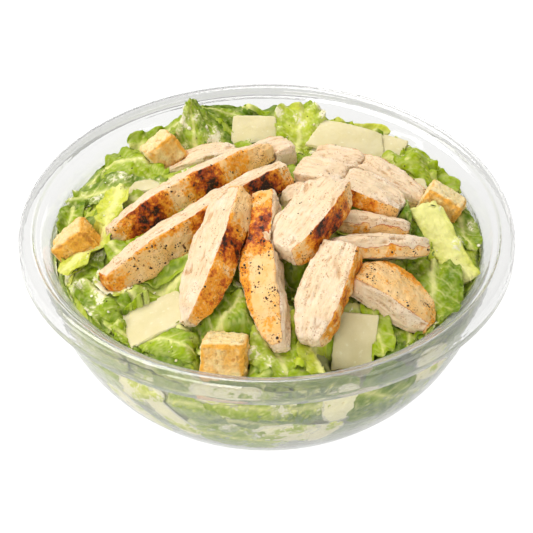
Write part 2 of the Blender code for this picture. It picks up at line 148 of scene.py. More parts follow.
# Leaves that can be told apart. Each: where its rib starts and ends (mm), width, lean to
# its left (degrees), how far it narrows to its end, fold along the rib, ruffle of the
# edges, half width of the rib (mm), tone (0 pale heart, 1 dark outer leaf), coat of dressing.
LEAVES = {
    "tall_left": ((-27, 39, 64), (-30.5, 56, 81), 21, 0, 0.75, -0.1, 0.5, 0.8, 0.75, 0.85),
    "tall_right": ((-15, 44, 65), (-30, 57, 81), 15, 0, 0.75, -0.1, 0.5, 0.2, 1.00, 0.60),
    "dark_back": ((-27, 63, 67), (-1, 61, 67), 14, 58, 0.1, 0.1, 0.8, 0.6, 0.95, 0.10),
    "ruffled_back": ((11, 38, 65), (14, 62, 75), 21, 4, -0.1, 0.2, 2.2, 0.8, 0.34, 0.75),
    "ruffled_back_right": ((20, 38, 65), (31, 59, 70), 16, -5, 0.0, 0.2, 1.8, 0.6, 0.22, 0.50),
    "pale_back": ((32, 57, 66), (49, 55, 66), 8, 50, 0.1, 0.1, 0.4, 2.0, 0.05, 0.30),
    "creamy_back": ((38, 48, 66), (55, 45, 65), 11, 20, 0.2, 0.2, 1.0, 0.8, 0.10, 1.20),
    "bright_back_right": ((37, 37, 67), (66, 27, 64), 22, 14, 0.1, 0.15, 1.8, 0.8, 0.42, 0.40),
    "low_back_right": ((50, 40, 64), (73, 20, 61), 16, 0, 0.2, 0.2, 1.6, 0.8, 0.50, 0.35),
    "coated_between": ((47, -16, 69), (48, 3, 73), 13, -10, 0.1, 0.3, 1.0, 0.8, 0.92, 0.80),
    "right_rib": ((58, 0, 71.5), (72, -32, 61.5), 12, 6, 0.1, 0.10, 0.4, 6.0, 0.06, 0.55),
    "outer_right": ((70, 8, 66), (76, -15, 62), 13, -10, 0.1, 0.2, 1.2, 0.8, 0.80, 0.55),
    "rib_foot": ((66, -24, 63), (67, -36, 60), 9, 0, 0.1, 0.1, 0.6, 3.0, 0.05, 0.90),
    "right_mass": ((60, -24, 66), (58, -59, 57), 24, 10, 0.1, 0.15, 1.8, 0.9, 0.80, 0.30),
    "right_mass_outer": ((73, -20, 61), (68, -46, 57), 17, 0, 0.1, 0.2, 1.6, 0.8, 0.70, 0.30),
    "right_mass_inner": ((48, -40, 64), (50, -63, 57), 14, 0, 0.1, 0.2, 1.6, 0.8, 0.80, 0.40),
    "beside_cheese": ((36, -47, 66), (41, -68, 57), 11, 0, 0.1, 0.3, 1.4, 0.7, 0.52, 0.25),
    "front_pale": ((15, -60, 63), (19, -75, 55), 14, 0, 0.1, 0.3, 1.4, 1.4, 0.22, 0.40),
    "front_middle": ((-3, -58, 65), (7, -75, 56), 21, 0, 0.1, -0.2, 1.6, 1.0, 0.50, 0.60),
    "front_ridge": ((-23, -67, 59), (-8, -46, 69), 20, 0, 0.0, -0.25, 1.4, 1.0, 0.78, 0.40),
    "under_cheese": ((-57, -54, 59), (-24, -68, 56), 17, 12, 0.1, 0.2, 2.2, 0.8, 0.70, 0.20),
    "under_cheese_low": ((-64, -43, 57), (-44, -64, 55), 15, 6, 0.1, 0.2, 2.0, 0.8, 0.75, 0.30),
    "left_fold": ((-41, -43, 67), (-55, -55, 60), 12, 0, 0.3, -0.7, 0.8, 0.8, 0.62, 0.20),
    "left_low": ((-64, -31, 62), (-51, -55, 58), 19, 8, 0.1, 0.2, 1.8, 0.8, 0.82, 0.80),
    "left_smeared": ((-60, -28, 64), (-50, -40, 63), 12, 10, 0.1, 0.1, 1.0, 0.8, 0.30, 1.20),
    "long_rib_leaf": ((-55, 14, 71), (-58, -6, 68), 11, 24, -0.3, 0.30, 1.0, 1.8, 0.10, 0.45),
    "long_rib_lower": ((-55, -2, 69), (-74, -28, 60), 15, 20, 0.0, 0.30, 1.4, 2.2, 0.12, 0.50),
    "long_rib_outer": ((-66, -14, 62), (-75, -30, 57), 11, 25, 0.1, 0.2, 1.2, 1.8, 0.18, 0.60),
    "inner_olive": ((-57, -17, 68), (-49, -28, 67), 10, 0, 0.1, 0.1, 0.8, 0.8, 0.55, 0.30),
    "upper_left": ((-63, 31, 65), (-36, 34, 69.5), 24, 6, 0.0, -0.15, 1.6, 0.9, 0.60, 0.40),
    "smeared_left": ((-75, 18, 60), (-38, 16, 69.5), 18, 6, 0.1, -0.10, 1.4, 0.9, 0.90, 0.80),
    "behind_crouton": ((-54, 45, 66), (-36, 52, 66), 13, 20, 0.1, 0.2, 1.6, 0.8, 0.65, 0.20),
    "outer_left": ((-74, 14, 61), (-75, -6, 58), 11, -15, 0.1, 0.2, 1.2, 0.8, 0.70, 0.50),
    "pale_inner_left": ((-60, 10, 67), (-44, 8, 69), 10, 10, 0.2, 0.2, 0.8, 1.8, 0.40, 0.40),
}

# Leaves that lie against the wall, seen through it: angle round the bowl (degrees, the
# front is -90), height of the middle, (length, width), turn in the wall (degrees),
# tone, coat of dressing, how deep behind the wall, ruffle.
WALL_LEAVES = {
    "knobby": (-123, 43, (20, 14), 20, 0.25, 1.15, -0.3, 2.2),
    "cream_streak": (-115, 33, (30, 10), -52, 0.25, 1.25, -0.4, 1.4),
    "cream_low_left": (-127, 27, (30, 11), -40, 0.30, 1.05, -0.3, 1.2),
    "olive": (-108, 45, (20, 17), 10, 0.60, 0.60, 0.2, 1.2),
    "olive_left": (-132, 40, (26, 17), -20, 0.50, 0.70, 0.6, 1.4),
    "dark_green": (-104, 31, (20, 21), -24, 0.95, 0.50, 0.3, 1.0),
    "dark_low_left": (-118, 22, (26, 14), -20, 0.80, 0.60, 0.6, 1.0),
    "cream_bit": (-100, 51, (26, 9), 3, 0.20, 1.55, -0.4, 1.2),
    "ruffled": (-94, 47, (34, 14), -5, 0.60, 0.80, 0.0, 2.4),
    "under_shade": (-94, 39, (26, 12), -12, 1.00, 0.30, 0.4, 1.0),
    "yellow_low": (-97, 27, (32, 20), -8, 0.66, 0.50, 0.0, 1.2),
    "cream_patch": (-83, 31, (30, 14), -6, 0.45, 1.15, -0.3, 1.8),
    "coated_middle": (-81, 46, (26, 17), 6, 0.95, 0.62, 0.2, 1.4),
    "green_upper_right": (-75, 52, (24, 12), -6, 0.80, 0.45, 0.3, 1.4),
    "cream_block": (-71, 44, (16, 17), 12, 0.15, 1.60, -0.4, 0.3),
    "cream_foot": (-75, 29, (18, 9), 50, 0.25, 1.25, -0.3, 1.0),
    "dark_right": (-60, 43, (24, 28), -30, 1.00, 0.10, -0.1, 1.6),
    "dark_far_right": (-50, 37, (24, 22), -30, 1.00, 0.30, 0.2, 1.4),
    "dark_low_right": (-62, 25, (36, 16), 10, 1.00, 0.35, 0.3, 1.0),
    "cream_right": (-44, 45, (18, 15), -20, 0.20, 1.35, -0.3, 1.0),
    "green_right": (-33, 42, (26, 18), 14, 0.75, 0.50, 0.4, 1.4),
    "top_left": (-116, 53, (30, 12), -6, 0.60, 0.85, 0.4, 1.4),
    "top_far_left": (-140, 48, (34, 16), 12, 0.45, 0.80, 0.4, 1.4),
    "low_far_left": (-142, 28, (40, 20), -14, 0.50, 0.90, 0.7, 1.2),
}

# How the heap stands under its leaves
CORE_BELOW = 5.0        # under the solid heap's surface
WALL_INTO = 0.15        # how far what touches the wall reaches into it
BASE_RADIUS = 50.0
SHEET = 0.6
RIM_RADIUS = 92.5
SKIRT_HEIGHT = 60.0


# ---------------------------------------------------------------- sizes and colours

def colour_property(name, description, default):
    """A colour that the panel shows."""
    return bpy.props.FloatVectorProperty(
        name=name, description=description, default=default,
        size=3, min=0.0, max=1.0, subtype="COLOR")


def length_property(name, description, default, highest):
    """A length in metres that the panel shows."""
    return bpy.props.FloatProperty(
        name=name, description=description, default=default,
        min=0.0, max=highest, unit="LENGTH", subtype="DISTANCE", precision=5)


class SaladSizes(bpy.types.PropertyGroup):
    """How fine and how dense the salad is made."""

    slice_step: length_property(
        "Slice grid", "Mesh size of the sliced chicken", 0.00060, 0.003)
    crouton_step: length_property(
        "Crouton grid", "Mesh size of the croutons", 0.00045, 0.003)
    cheese_step: length_property(
        "Cheese grid", "Mesh size of the shavings", 0.00040, 0.003)
    leaf_step: length_property(
        "Leaf grid", "Mesh size of the leaves", 0.00115, 0.003)
    leaf_spacing: length_property(
        "Leaf spacing", "Distance between the leaves that cover the heap", 0.0140, 0.05)
    leaf_thickness: length_property(
        "Leaf thickness", "Thickness of a leaf away from its rib", 0.00035, 0.002)
    pepper_grains: bpy.props.IntProperty(
        name="Pepper grains", description="Grains of ground pepper on the chicken and leaves",
        default=900, min=0, max=4000)
    bowl_segments: bpy.props.IntProperty(
        name="Bowl segments", description="Segments round the bowl", default=192, min=24, max=512)


class SaladColours(bpy.types.PropertyGroup):
    """Colours of everything on the dish."""

    leaf_dark: colour_property("Dark leaf", "Outer leaf away from its ribs", (0.090, 0.175, 0.002))
    leaf_green: colour_property("Green leaf", "Leaf of middling tone", (0.310, 0.420, 0.003))
    leaf_pale: colour_property("Pale leaf", "Leaf from the heart", (0.640, 0.660, 0.060))
    leaf_rib: colour_property("Rib", "Ribs and veins", (0.850, 0.810, 0.340))
    dressing: colour_property("Dressing", "Caesar dressing", (0.860, 0.810, 0.590))
    cut_meat: colour_property("Cut chicken", "Cut faces of the slices", (0.885, 0.685, 0.450))
    seared_meat: colour_property("Seared chicken", "Pale golden sides", (0.900, 0.610, 0.285))
    golden_meat: colour_property("Golden chicken", "Golden patches", (0.860, 0.345, 0.022))
    browned_meat: colour_property("Browned chicken", "Browned patches", (0.570, 0.125, 0.005))
    charred_meat: colour_property("Charred chicken", "Grill marks", (0.032, 0.012, 0.006))
    crumb: colour_property("Crumb", "Toasted bread inside", (0.980, 0.820, 0.460))
    crust: colour_property("Crust", "Browned edges of the croutons", (0.920, 0.450, 0.055))
    cheese: colour_property("Cheese", "Shaved hard cheese", (0.700, 0.615, 0.340))
    plastic: colour_property("Plastic", "Tint of the clear bowl", (0.805, 0.805, 0.798))


# ---------------------------------------------------------------- noise and steps

def smooth(value, low, high):
    """0 below low, 1 above high and an even S between them."""
    part = np.clip((value - low) / (high - low), 0.0, 1.0)
    return part * part * (3.0 - 2.0 * part)


def corner_number(cell, seed):
    """A fixed number from 0 to 1 for each whole-numbered corner."""
    mixed = (cell[..., 0] * 73856093) ^ (cell[..., 1] * 19349663) ^ (cell[..., 2] * 83492791)
    mixed = (mixed + seed * 668265263) & 0xFFFFFFFF
    mixed = ((mixed ^ (mixed >> 15)) * 739982445) & 0xFFFFFFFF
    mixed = ((mixed ^ (mixed >> 13)) * 695872825) & 0xFFFFFFFF
    return ((mixed ^ (mixed >> 16)) & 0xFFFFFF) / 16777215.0


def noise(points, size, seed):
    """Smooth noise, about -1 to 1, with its grain in the unit of the points."""
    scaled = np.asarray(points, dtype=float) / size
    base = np.floor(scaled).astype(np.int64)
    part = scaled - base
    blend = part ** 3 * (part * (part * 6.0 - 15.0) + 10.0)
    total = np.zeros(len(scaled))
    for corner in range(8):
        step = np.array([corner & 1, corner >> 1 & 1, corner >> 2 & 1])
        weight = np.prod(np.where(step == 1, blend, 1.0 - blend), axis=1)
        cell = base + step
        lean = np.stack([corner_number(cell, seed * 3 + k) for k in range(3)], axis=1) * 2.0 - 1.0
        total += weight * np.sum(lean * (part - step), axis=1)
    return total * 1.6


def fractal(points, size, seed, octaves=3):
    """Noise with finer noise on it."""
    total, strength = 0.0, 1.0
    for octave in range(octaves):
        total = total + strength * noise(points, size / 2 ** octave, seed + 17 * octave)
        strength *= 0.5
    return total


def cells(points, size, seed):
    """Distances to the nearest and the next of points strewn one to a cell."""
    scaled = np.asarray(points, dtype=float) / size
    base = np.floor(scaled).astype(np.int64)
    nearest = np.full(len(scaled), 9.0)
    second = np.full(len(scaled), 9.0)
    for step in np.ndindex(3, 3, 3):
        cell = base + np.array(step) - 1
        spot = cell + np.stack([corner_number(cell, seed * 3 + k) for k in range(3)], axis=1)
        gap = np.sqrt(np.sum((spot - scaled) ** 2, axis=1))
        second = np.minimum(second, np.maximum(nearest, gap))
        nearest = np.minimum(nearest, gap)
    return nearest, second


# ---------------------------------------------------------------- meshes

def new_object(name, points, faces, marks=None, smooth_shade=True):
    """An object from points in metres, quads or triangles, and named numbers per point."""
    mesh = bpy.data.meshes.new(name)
    points = np.asarray(points, dtype=np.float32)
    faces = np.asarray(faces, dtype=np.int32)
    sides = faces.shape[1]
    mesh.vertices.add(len(points))
    mesh.vertices.foreach_set("co", points.ravel())
    mesh.loops.add(faces.size)
    mesh.loops.foreach_set("vertex_index", faces.ravel())
    mesh.polygons.add(len(faces))
    mesh.polygons.foreach_set("loop_start", np.arange(0, faces.size, sides, dtype=np.int32))
    mesh.update(calc_edges=True)
    mesh.validate()
    mesh.polygons.foreach_set("use_smooth", np.full(len(mesh.polygons), smooth_shade))
    for mark, values in (marks or {}).items():
        layer = mesh.attributes.new(mark, "FLOAT", "POINT")
        layer.data.foreach_set("value", np.asarray(values, dtype=np.float32))
    made = bpy.data.objects.new(name, mesh)
    bpy.context.scene.collection.objects.link(made)
    return made


def points_of(mesh):
    """The points of a mesh as an array."""
    points = np.empty(len(mesh.vertices) * 3, dtype=np.float32)
    mesh.vertices.foreach_get("co", points)
    return points.reshape(-1, 3).astype(float)


def normals_of(mesh):
    """The smooth normals of a mesh as an array."""
    normals = np.empty(len(mesh.vertices) * 3, dtype=np.float32)
    mesh.vertices.foreach_get("normal", normals)
    return normals.reshape(-1, 3).astype(float)


def placing(middle, angles):
    """The matrix of a piece: middle in millimetres; roll, pitch and yaw in degrees."""
    roll, pitch, yaw = (math.radians(angle) for angle in angles)
    turned = Euler((roll, -pitch, yaw)).to_matrix().to_4x4()
    return Matrix.Translation(Vector(middle) * MM) @ turned


def node_tree_of(name):
    """The closed mesh of a solid of the frame, to look up distances in."""
    mesh = frame["nodes"][name].data
    return BVHTree.FromPolygons(
        [v.co.copy() for v in mesh.vertices], [tuple(p.vertices) for p in mesh.polygons])


def remeshed(name, matrix, step, rounds):
    """A solid of the frame with an even fine grid, softened, in its own axes."""
    copy = bpy.data.objects.new(name + "_work", frame["nodes"][name].data.copy())
    bpy.context.scene.collection.objects.link(copy)
    grid = copy.modifiers.new("Grid", "REMESH")
    grid.mode = "VOXEL"
    grid.voxel_size = step
    grid.use_smooth_shade = True
    soft = copy.modifiers.new("Soft", "SMOOTH")
    soft.factor = 0.5
    soft.iterations = rounds
    evaluated = copy.evaluated_get(bpy.context.evaluated_depsgraph_get())
    mesh = bpy.data.meshes.new_from_object(evaluated)
    bpy.data.objects.remove(copy, do_unlink=True)
    mesh.transform(matrix.inverted())
    mesh.materials.clear()
    for layer in list(mesh.attributes):
        if layer.name not in ("position", "sharp_face") and not layer.is_required:
            mesh.attributes.remove(layer)
    mesh.update()
    made = bpy.data.objects.new(name + "_fine", mesh)
    made.matrix_world = matrix
    bpy.context.scene.collection.objects.link(made)
    return made


def shape_mesh(made, points, marks):
    """Give a mesh its new points and its named numbers."""
    made.data.vertices.foreach_set("co", points.astype(np.float32).ravel())
    for mark, values in marks.items():
        layer = made.data.attributes.new(mark, "FLOAT", "POINT")
        layer.data.foreach_set("value", np.asarray(values, dtype=np.float32))
    made.data.update()


def dress(made, material, replaced):
    """Finish a piece, let it ride and hide the solids it stands in for."""
    made.data.materials.clear()
    made.data.materials.append(material)
    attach(made, "root")
    if replaced:
        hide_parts(*replaced)


# ---------------------------------------------------------------- the shape of the dish

def wall_outside(height):
    """Radius of the wall's outer face at a height, in millimetres."""
    widest, narrowest = 0.910 * RIM_RADIUS, 0.259 * RIM_RADIUS
    depth = (SKIRT_HEIGHT - height) / (0.725 * RIM_RADIUS)
    return narrowest + (widest - narrowest) * (1.0 - depth ** 2.067) ** (1.0 / 2.067)


def bowl_inside():
    """Radius and height of the bowl's inner face, from the middle out, in millimetres."""
    line = [(0.0, SHEET), (BASE_RADIUS - 1.5, SHEET), (BASE_RADIUS + 3.5, 2.2)]
    line += [(wall_outside(z) - SHEET, z) for z in (6.0, 11.5, 18.0, 25.5, 34.0, 42.5)]
    line += [(81.3, 49.0), (80.5, 55.0), (80.0, 59.5), (84.2, 64.0), (86.0, 64.2), (86.8, 66.5),
             (89.3, 67.2), (91.2, 66.3), (92.2, 64.4), (92.5, 62.5), (92.5, 59.0)]
    return line


WALL_LINE = np.array(bowl_inside())


def wall_inside(height):
    """Radius of the bowl's inner face at heights in millimetres."""
    up = WALL_LINE[2:15]
    return np.interp(height, up[:, 1], up[:, 0])


class Ground:
    """Heights of what lies in the bowl, on a square grid of 1 mm."""

    half, count = 95.0, 191

    def __init__(self, names, from_below=False):
        trees = [node_tree_of(name) for name in names]
        self.heights = np.full((self.count, self.count), np.nan)
        start, ray = (-0.01, 1.0) if from_below else (0.2, -1.0)
        for row in range(self.count):
            for column in range(self.count):
                place = Vector(((row - self.half) * MM, (column - self.half) * MM, start))
                for tree in trees:
                    hit = tree.ray_cast(place, Vector((0.0, 0.0, ray)))[0]
                    if hit is None:
                        continue
                    height = hit.z / MM
                    known = self.heights[row, column]
                    if np.isnan(known) or (height < known if from_below else height > known):
                        self.heights[row, column] = height

    def fill(self, value):
        """Give the places that hold nothing a height."""
        self.heights = np.where(np.isnan(self.heights), value, self.heights)

    def lower(self, points):
        """Bring the heights down to points that lie lower, in millimetres."""
        row = np.clip(np.round(points[:, 0]) + self.half, 0, self.count - 1).astype(int)
        column = np.clip(np.round(points[:, 1]) + self.half, 0, self.count - 1).astype(int)
        np.minimum.at(self.heights, (row, column), points[:, 2])

    def soften(self, rounds):
        """Even out the steps."""
        for _ in range(rounds):
            padded = np.pad(self.heights, 1, mode="edge")
            self.heights = (padded[:-2, 1:-1] + padded[2:, 1:-1] + padded[1:-1, :-2]
                            + padded[1:-1, 2:] + 2.0 * padded[1:-1, 1:-1]) / 6.0

    def at(self, x, y):
        """Heights at places, all in millimetres."""
        row = np.clip(x + self.half, 0.0, self.count - 1.001)
        column = np.clip(y + self.half, 0.0, self.count - 1.001)
        r, c = row.astype(int), column.astype(int)
        a, b = row - r, column - c
        h = self.heights
        return ((1 - a) * (1 - b) * h[r, c] + a * (1 - b) * h[r + 1, c]
                + (1 - a) * b * h[r, c + 1] + a * b * h[r + 1, c + 1])


# ---------------------------------------------------------------- materials

class Finish:
    """A Principled material and the nodes that feed it."""

    def __init__(self, name, roughness, specular=0.5, coat=0.0, coat_roughness=0.2,
                 subsurface=0.0, radius=(1.0, 0.5, 0.25), reach=0.001):
        self.material = bpy.data.materials.new(name)
        self.material.use_nodes = True
        self.nodes = self.material.node_tree.nodes
        self.links = self.material.node_tree.links
        self.shader = self.nodes["Principled BSDF"]
        self.shader.inputs["Roughness"].default_value = roughness
        self.shader.inputs["Specular IOR Level"].default_value = specular
        self.shader.inputs["Coat Weight"].default_value = coat
        self.shader.inputs["Coat Roughness"].default_value = coat_roughness
        if subsurface > 0.0:
            self.shader.inputs["Subsurface Weight"].default_value = subsurface
            self.shader.inputs["Subsurface Radius"].default_value = radius
            self.shader.inputs["Subsurface Scale"].default_value = reach
        self.place = self.nodes.new("ShaderNodeTexCoord").outputs["Object"]

    def link(self, value, socket):
        """Set a socket from a number, a colour or another node's output."""
        if isinstance(value, bpy.types.NodeSocket):
            self.links.new(value, socket)
        elif isinstance(value, (tuple, list)) or hasattr(value, "__len__"):
            value = tuple(value)
            socket.default_value = (*value, 1.0) if len(value) == 3 and len(
                socket.default_value) == 4 else value
        else:
            socket.default_value = value

    def stretched(self, scale):
        """The piece's own place, scaled along its axes."""
        node = self.nodes.new("ShaderNodeMapping")
        self.link(self.place, node.inputs["Vector"])
        node.inputs["Scale"].default_value = scale
        return node.outputs["Vector"]

    def grain(self, size, detail=3.0, roughness=0.55, place=None, distortion=0.0):
        """Noise from 0 to 1 with its grain in metres."""
        node = self.nodes.new("ShaderNodeTexNoise")
        self.link(place or self.place, node.inputs["Vector"])
        node.inputs["Scale"].default_value = 1.0 / size
        node.inputs["Detail"].default_value = detail
        node.inputs["Roughness"].default_value = roughness
        node.inputs["Distortion"].default_value = distortion
        return node.outputs["Fac"]

    def cell(self, size, feature="F1", place=None):
        """Distance to the nearest of strewn points, in cells."""
        node = self.nodes.new("ShaderNodeTexVoronoi")
        node.feature = feature
        self.link(place or self.place, node.inputs["Vector"])
        node.inputs["Scale"].default_value = 1.0 / size
        return node.outputs["Distance"]

    def mark(self, name):
        """A named number of the mesh."""
        node = self.nodes.new("ShaderNodeAttribute")
        node.attribute_name = name
        return node.outputs["Fac"]

    def step(self, value, low, high, to_low=0.0, to_high=1.0):
        """An even step between two values."""
        node = self.nodes.new("ShaderNodeMapRange")
        node.interpolation_type = "SMOOTHSTEP"
        self.link(value, node.inputs["Value"])
        node.inputs["From Min"].default_value = low
        node.inputs["From Max"].default_value = high
        node.inputs["To Min"].default_value = to_low
        node.inputs["To Max"].default_value = to_high
        return node.outputs["Result"]

    def maths(self, operation, *values):
        """A sum, product or the like."""
        node = self.nodes.new("ShaderNodeMath")
        node.operation = operation
        for value, socket in zip(values, node.inputs):
            self.link(value, socket)
        return node.outputs["Value"]

    def mixed(self, amount, first, second, blend="MIX"):
        """One colour over another."""
        node = self.nodes.new("ShaderNodeMix")
        node.data_type = "RGBA"
        node.blend_type = blend
        self.link(amount, node.inputs[0])
        self.link(first, node.inputs[6])
        self.link(second, node.inputs[7])
        return node.outputs[2]

    def colour(self, value):
        """Set the surface's colour."""
        self.link(value, self.shader.inputs["Base Color"])

    def rough(self, value):
        """Set the surface's roughness."""
        self.link(value, self.shader.inputs["Roughness"])

    def relief(self, *layers):
        """Bumps: each layer is a height from 0 to 1 and its depth in metres."""
        normal = None
        for height, depth in layers:
            node = self.nodes.new("ShaderNodeBump")
            self.link(height, node.inputs["Height"])
            node.inputs["Strength"].default_value = 1.0
            node.inputs["Distance"].default_value = depth
            if normal is not None:
                self.link(normal, node.inputs["Normal"])
            normal = node.outputs["Normal"]
        self.link(normal, self.shader.inputs["Normal"])


def leaf_finish(colours):
    """Romaine: pale ribs and veins, green blades of several tones, and dressing on top."""
    made = Finish("dressed_romaine", 0.34, specular=0.16, subsurface=0.10,
                  radius=(0.8, 1.0, 0.2), reach=0.0012)
    tone, vein, coat = made.mark("tone"), made.mark("vein"), made.mark("coat")
    broad, fine = made.grain(0.0080, 3.0), made.grain(0.0011, 4.0)
    green = made.mixed(made.step(tone, 0.05, 0.42), colours.leaf_pale, colours.leaf_green)
    green = made.mixed(made.step(tone, 0.42, 0.95), green, colours.leaf_dark)
    mottled = made.mixed(made.step(broad, 0.35, 0.70, 0.0, 0.30), green, colours.leaf_green)
    mottled = made.mixed(made.step(fine, 0.30, 0.60, 0.20, 0.0), mottled, colours.leaf_dark)
    ribbed = made.mixed(made.maths("MULTIPLY", vein, 0.80), mottled, colours.leaf_rib)
    streaks = made.step(made.grain(0.0019, 4.0, distortion=1.0), 0.46, 0.66)
    film = made.maths("MULTIPLY", made.step(coat, 0.10, 0.80), made.maths(
        "ADD", made.maths("MULTIPLY", streaks, 0.50), 0.24))
    covered = made.mixed(film, ribbed, (0.70, 0.74, 0.24))
    thick = made.maths("MULTIPLY", made.step(coat, 0.38, 0.80), streaks)
    thick = made.maths("MAXIMUM", thick, made.step(coat, 0.94, 1.0, 0.0, 0.85))
    speckled = made.mixed(made.step(made.grain(0.0011, 2.0), 0.62, 0.70, 0.0, 0.6),
                          colours.dressing, (0.62, 0.45, 0.17))
    covered = made.mixed(thick, covered, speckled)
    made.colour(covered)
    made.rough(made.step(coat, 0.1, 0.8, 0.34, 0.20))
    made.relief((made.grain(0.0009, 3.0), 0.00014), (made.cell(0.0022), 0.00030),
                (made.grain(0.0040, 2.0), 0.0008))
    return made.material


def meat_finish(colours):
    """Sliced breast: fibrous pale cut faces with painted shade in their splits and pits, and
    golden, browned and charred outsides.
    """
    made = Finish("grilled_breast", 0.42, specular=0.25, coat=0.06, coat_roughness=0.22,
                  subsurface=0.15, radius=(1.0, 0.55, 0.3), reach=0.0015)
    sear, char, pit_shade = made.mark("sear"), made.mark("char"), made.mark("pit_shade")
    long_fibre = made.grain(0.0011, 4.0, place=made.stretched((0.20, 1.0, 1.0)))
    broad, middle = made.grain(0.0075, 3.0), made.grain(0.0026, 4.0)
    fine, speck = made.grain(0.0010, 4.0), made.grain(0.0006, 2.0)
    pale = made.mixed(made.step(long_fibre, 0.30, 0.52), (0.79, 0.56, 0.33), colours.cut_meat)
    # Thin dark brown lines between the fibres: painted shade in the splits.
    split_shade = made.grain(0.0007, 3.0, place=made.stretched((0.16, 1.0, 1.0)))
    split_shade = made.maths("MULTIPLY", made.step(split_shade, 0.36, 0.30, 0.0, 0.85),
                       made.step(broad, 0.38, 0.55))
    pale = made.mixed(split_shade, pale, (0.46, 0.22, 0.07))
    pale = made.mixed(made.step(broad, 0.45, 0.70, 0.0, 0.7), pale, (0.93, 0.78, 0.60))
    # Hollows of the cut faces darkened: painted shade in the pits.
    pale = made.mixed(made.step(pit_shade, 0.1, 0.9, 0.0, 0.70), pale, (0.56, 0.30, 0.11))
    dusted = made.step(made.grain(0.0045, 3.0), 0.44, 0.58)
    pale = made.mixed(made.maths("MULTIPLY", made.step(speck, 0.58, 0.63, 0.0, 0.75), dusted),
                      pale, (0.44, 0.19, 0.05))
    level = made.maths("ADD", char, made.maths("MULTIPLY", made.maths(
        "SUBTRACT", middle, 0.5), 1.3))
    level = made.maths("ADD", level, made.maths("MULTIPLY", made.maths(
        "SUBTRACT", fine, 0.5), 1.1))
    warm = made.mixed(made.step(broad, 0.40, 0.62), colours.seared_meat, (0.89, 0.53, 0.18))
    warm = made.mixed(made.step(level, 0.11, 0.40), warm, colours.golden_meat)
    warm = made.mixed(made.step(level, 0.44, 0.74), warm, colours.browned_meat)
    warm = made.mixed(made.step(level, 0.72, 0.94), warm, (0.29, 0.038, 0.004))
    warm = made.mixed(made.step(level, 0.96, 1.14), warm, colours.charred_meat)
    sides = made.maths("ADD", sear, made.maths("MULTIPLY", made.maths("SUBTRACT", fine, 0.5), 0.6))
    meat = made.mixed(made.step(sides, 0.28, 0.66), pale, warm)
    line = made.maths("MULTIPLY", made.step(sides, 0.16, 0.36), made.step(sides, 0.64, 0.46))
    line = made.maths("MULTIPLY", line, made.step(middle, 0.36, 0.58, 0.25, 0.95))
    meat = made.mixed(line, meat, colours.browned_meat)
    fleck = made.maths("MULTIPLY", made.step(speck, 0.575, 0.625, 0.0, 0.9),
                       made.maths("MULTIPLY", made.step(sear, 0.3, 0.7), dusted))
    meat = made.mixed(fleck, meat, (0.26, 0.085, 0.015))
    made.colour(meat)
    made.rough(made.step(middle, 0.3, 0.7, 0.28, 0.52))
    made.relief((long_fibre, 0.00055), (fine, 0.00030), (speck, 0.00012))
    return made.material


def crouton_finish(colours):
    """Toasted bread: open crumb with painted shade in its pores, browner along edges, and crust
    colour on the sides facing +x and -y as painted shade.
    """
    made = Finish("toasted_crumb", 0.70, specular=0.3, subsurface=0.12,
                  radius=(1.0, 0.6, 0.3), reach=0.0012)
    toast_and_side_shade, pore_shade, brown = made.mark("toast_and_side_shade"), made.mark("pore_shade"), made.mark("brown")
    broad, middle, fine = made.grain(0.0055, 3.0), made.grain(0.0018, 4.0), made.grain(0.0007, 4.0)
    base = made.mixed(made.step(middle, 0.38, 0.62), (0.97, 0.74, 0.33), colours.crumb)
    # Crust colour along the edges is real browning; on the sides facing +x and -y it is painted
    # shade.
    level = made.maths("ADD", made.maths("MULTIPLY", toast_and_side_shade, 0.62), made.maths(
        "MULTIPLY", made.maths("SUBTRACT", broad, 0.50), 1.3))
    level = made.maths("ADD", level, made.maths("MULTIPLY", brown, 0.70))
    level = made.maths("ADD", level, made.maths("MULTIPLY", made.maths(
        "SUBTRACT", middle, 0.5), 0.8))
    toasted = made.mixed(made.step(level, 0.10, 0.85), base, colours.crust)
    toasted = made.mixed(made.step(level, 0.90, 1.35), toasted, (0.64, 0.25, 0.03))
    # Pores darkened towards brown: painted shade in the hollows of the crumb.
    toasted = made.mixed(made.step(pore_shade, 0.15, 0.9, 0.0, 0.45), toasted, (0.66, 0.33, 0.07))
    toasted = made.mixed(made.step(fine, 0.30, 0.55, 0.24, 0.0), toasted, (0.66, 0.36, 0.09))
    made.colour(toasted)
    made.relief((middle, 0.00110), (fine, 0.00060))
    return made.material


def cheese_finish(colours):
    """Shaved hard cheese: matt, waxy, with fine grain and paler broken edges."""
    made = Finish("shaved_hard_cheese", 0.50, specular=0.35, subsurface=0.35,
                  radius=(1.0, 0.9, 0.5), reach=0.0025)
    broad, fine = made.grain(0.0070, 3.0), made.grain(0.0007, 4.0)
    face = made.mixed(made.step(broad, 0.35, 0.70), colours.cheese, (0.75, 0.67, 0.41))
    face = made.mixed(made.step(fine, 0.55, 0.80, 0.0, 0.4), face, (0.66, 0.60, 0.28))
    fleck = made.step(made.grain(0.0016, 3.0), 0.62, 0.70, 0.0, 0.55)
    face = made.mixed(fleck, face, (0.84, 0.80, 0.60))
    face = made.mixed(made.step(made.mark("edge"), 0.3, 0.9, 0.0, 0.6), face, (0.80, 0.75, 0.50))
    made.colour(face)
    made.rough(made.step(fine, 0.3, 0.7, 0.42, 0.62))
    made.relief((made.grain(0.0005, 4.0), 0.00015),)
    return made.material


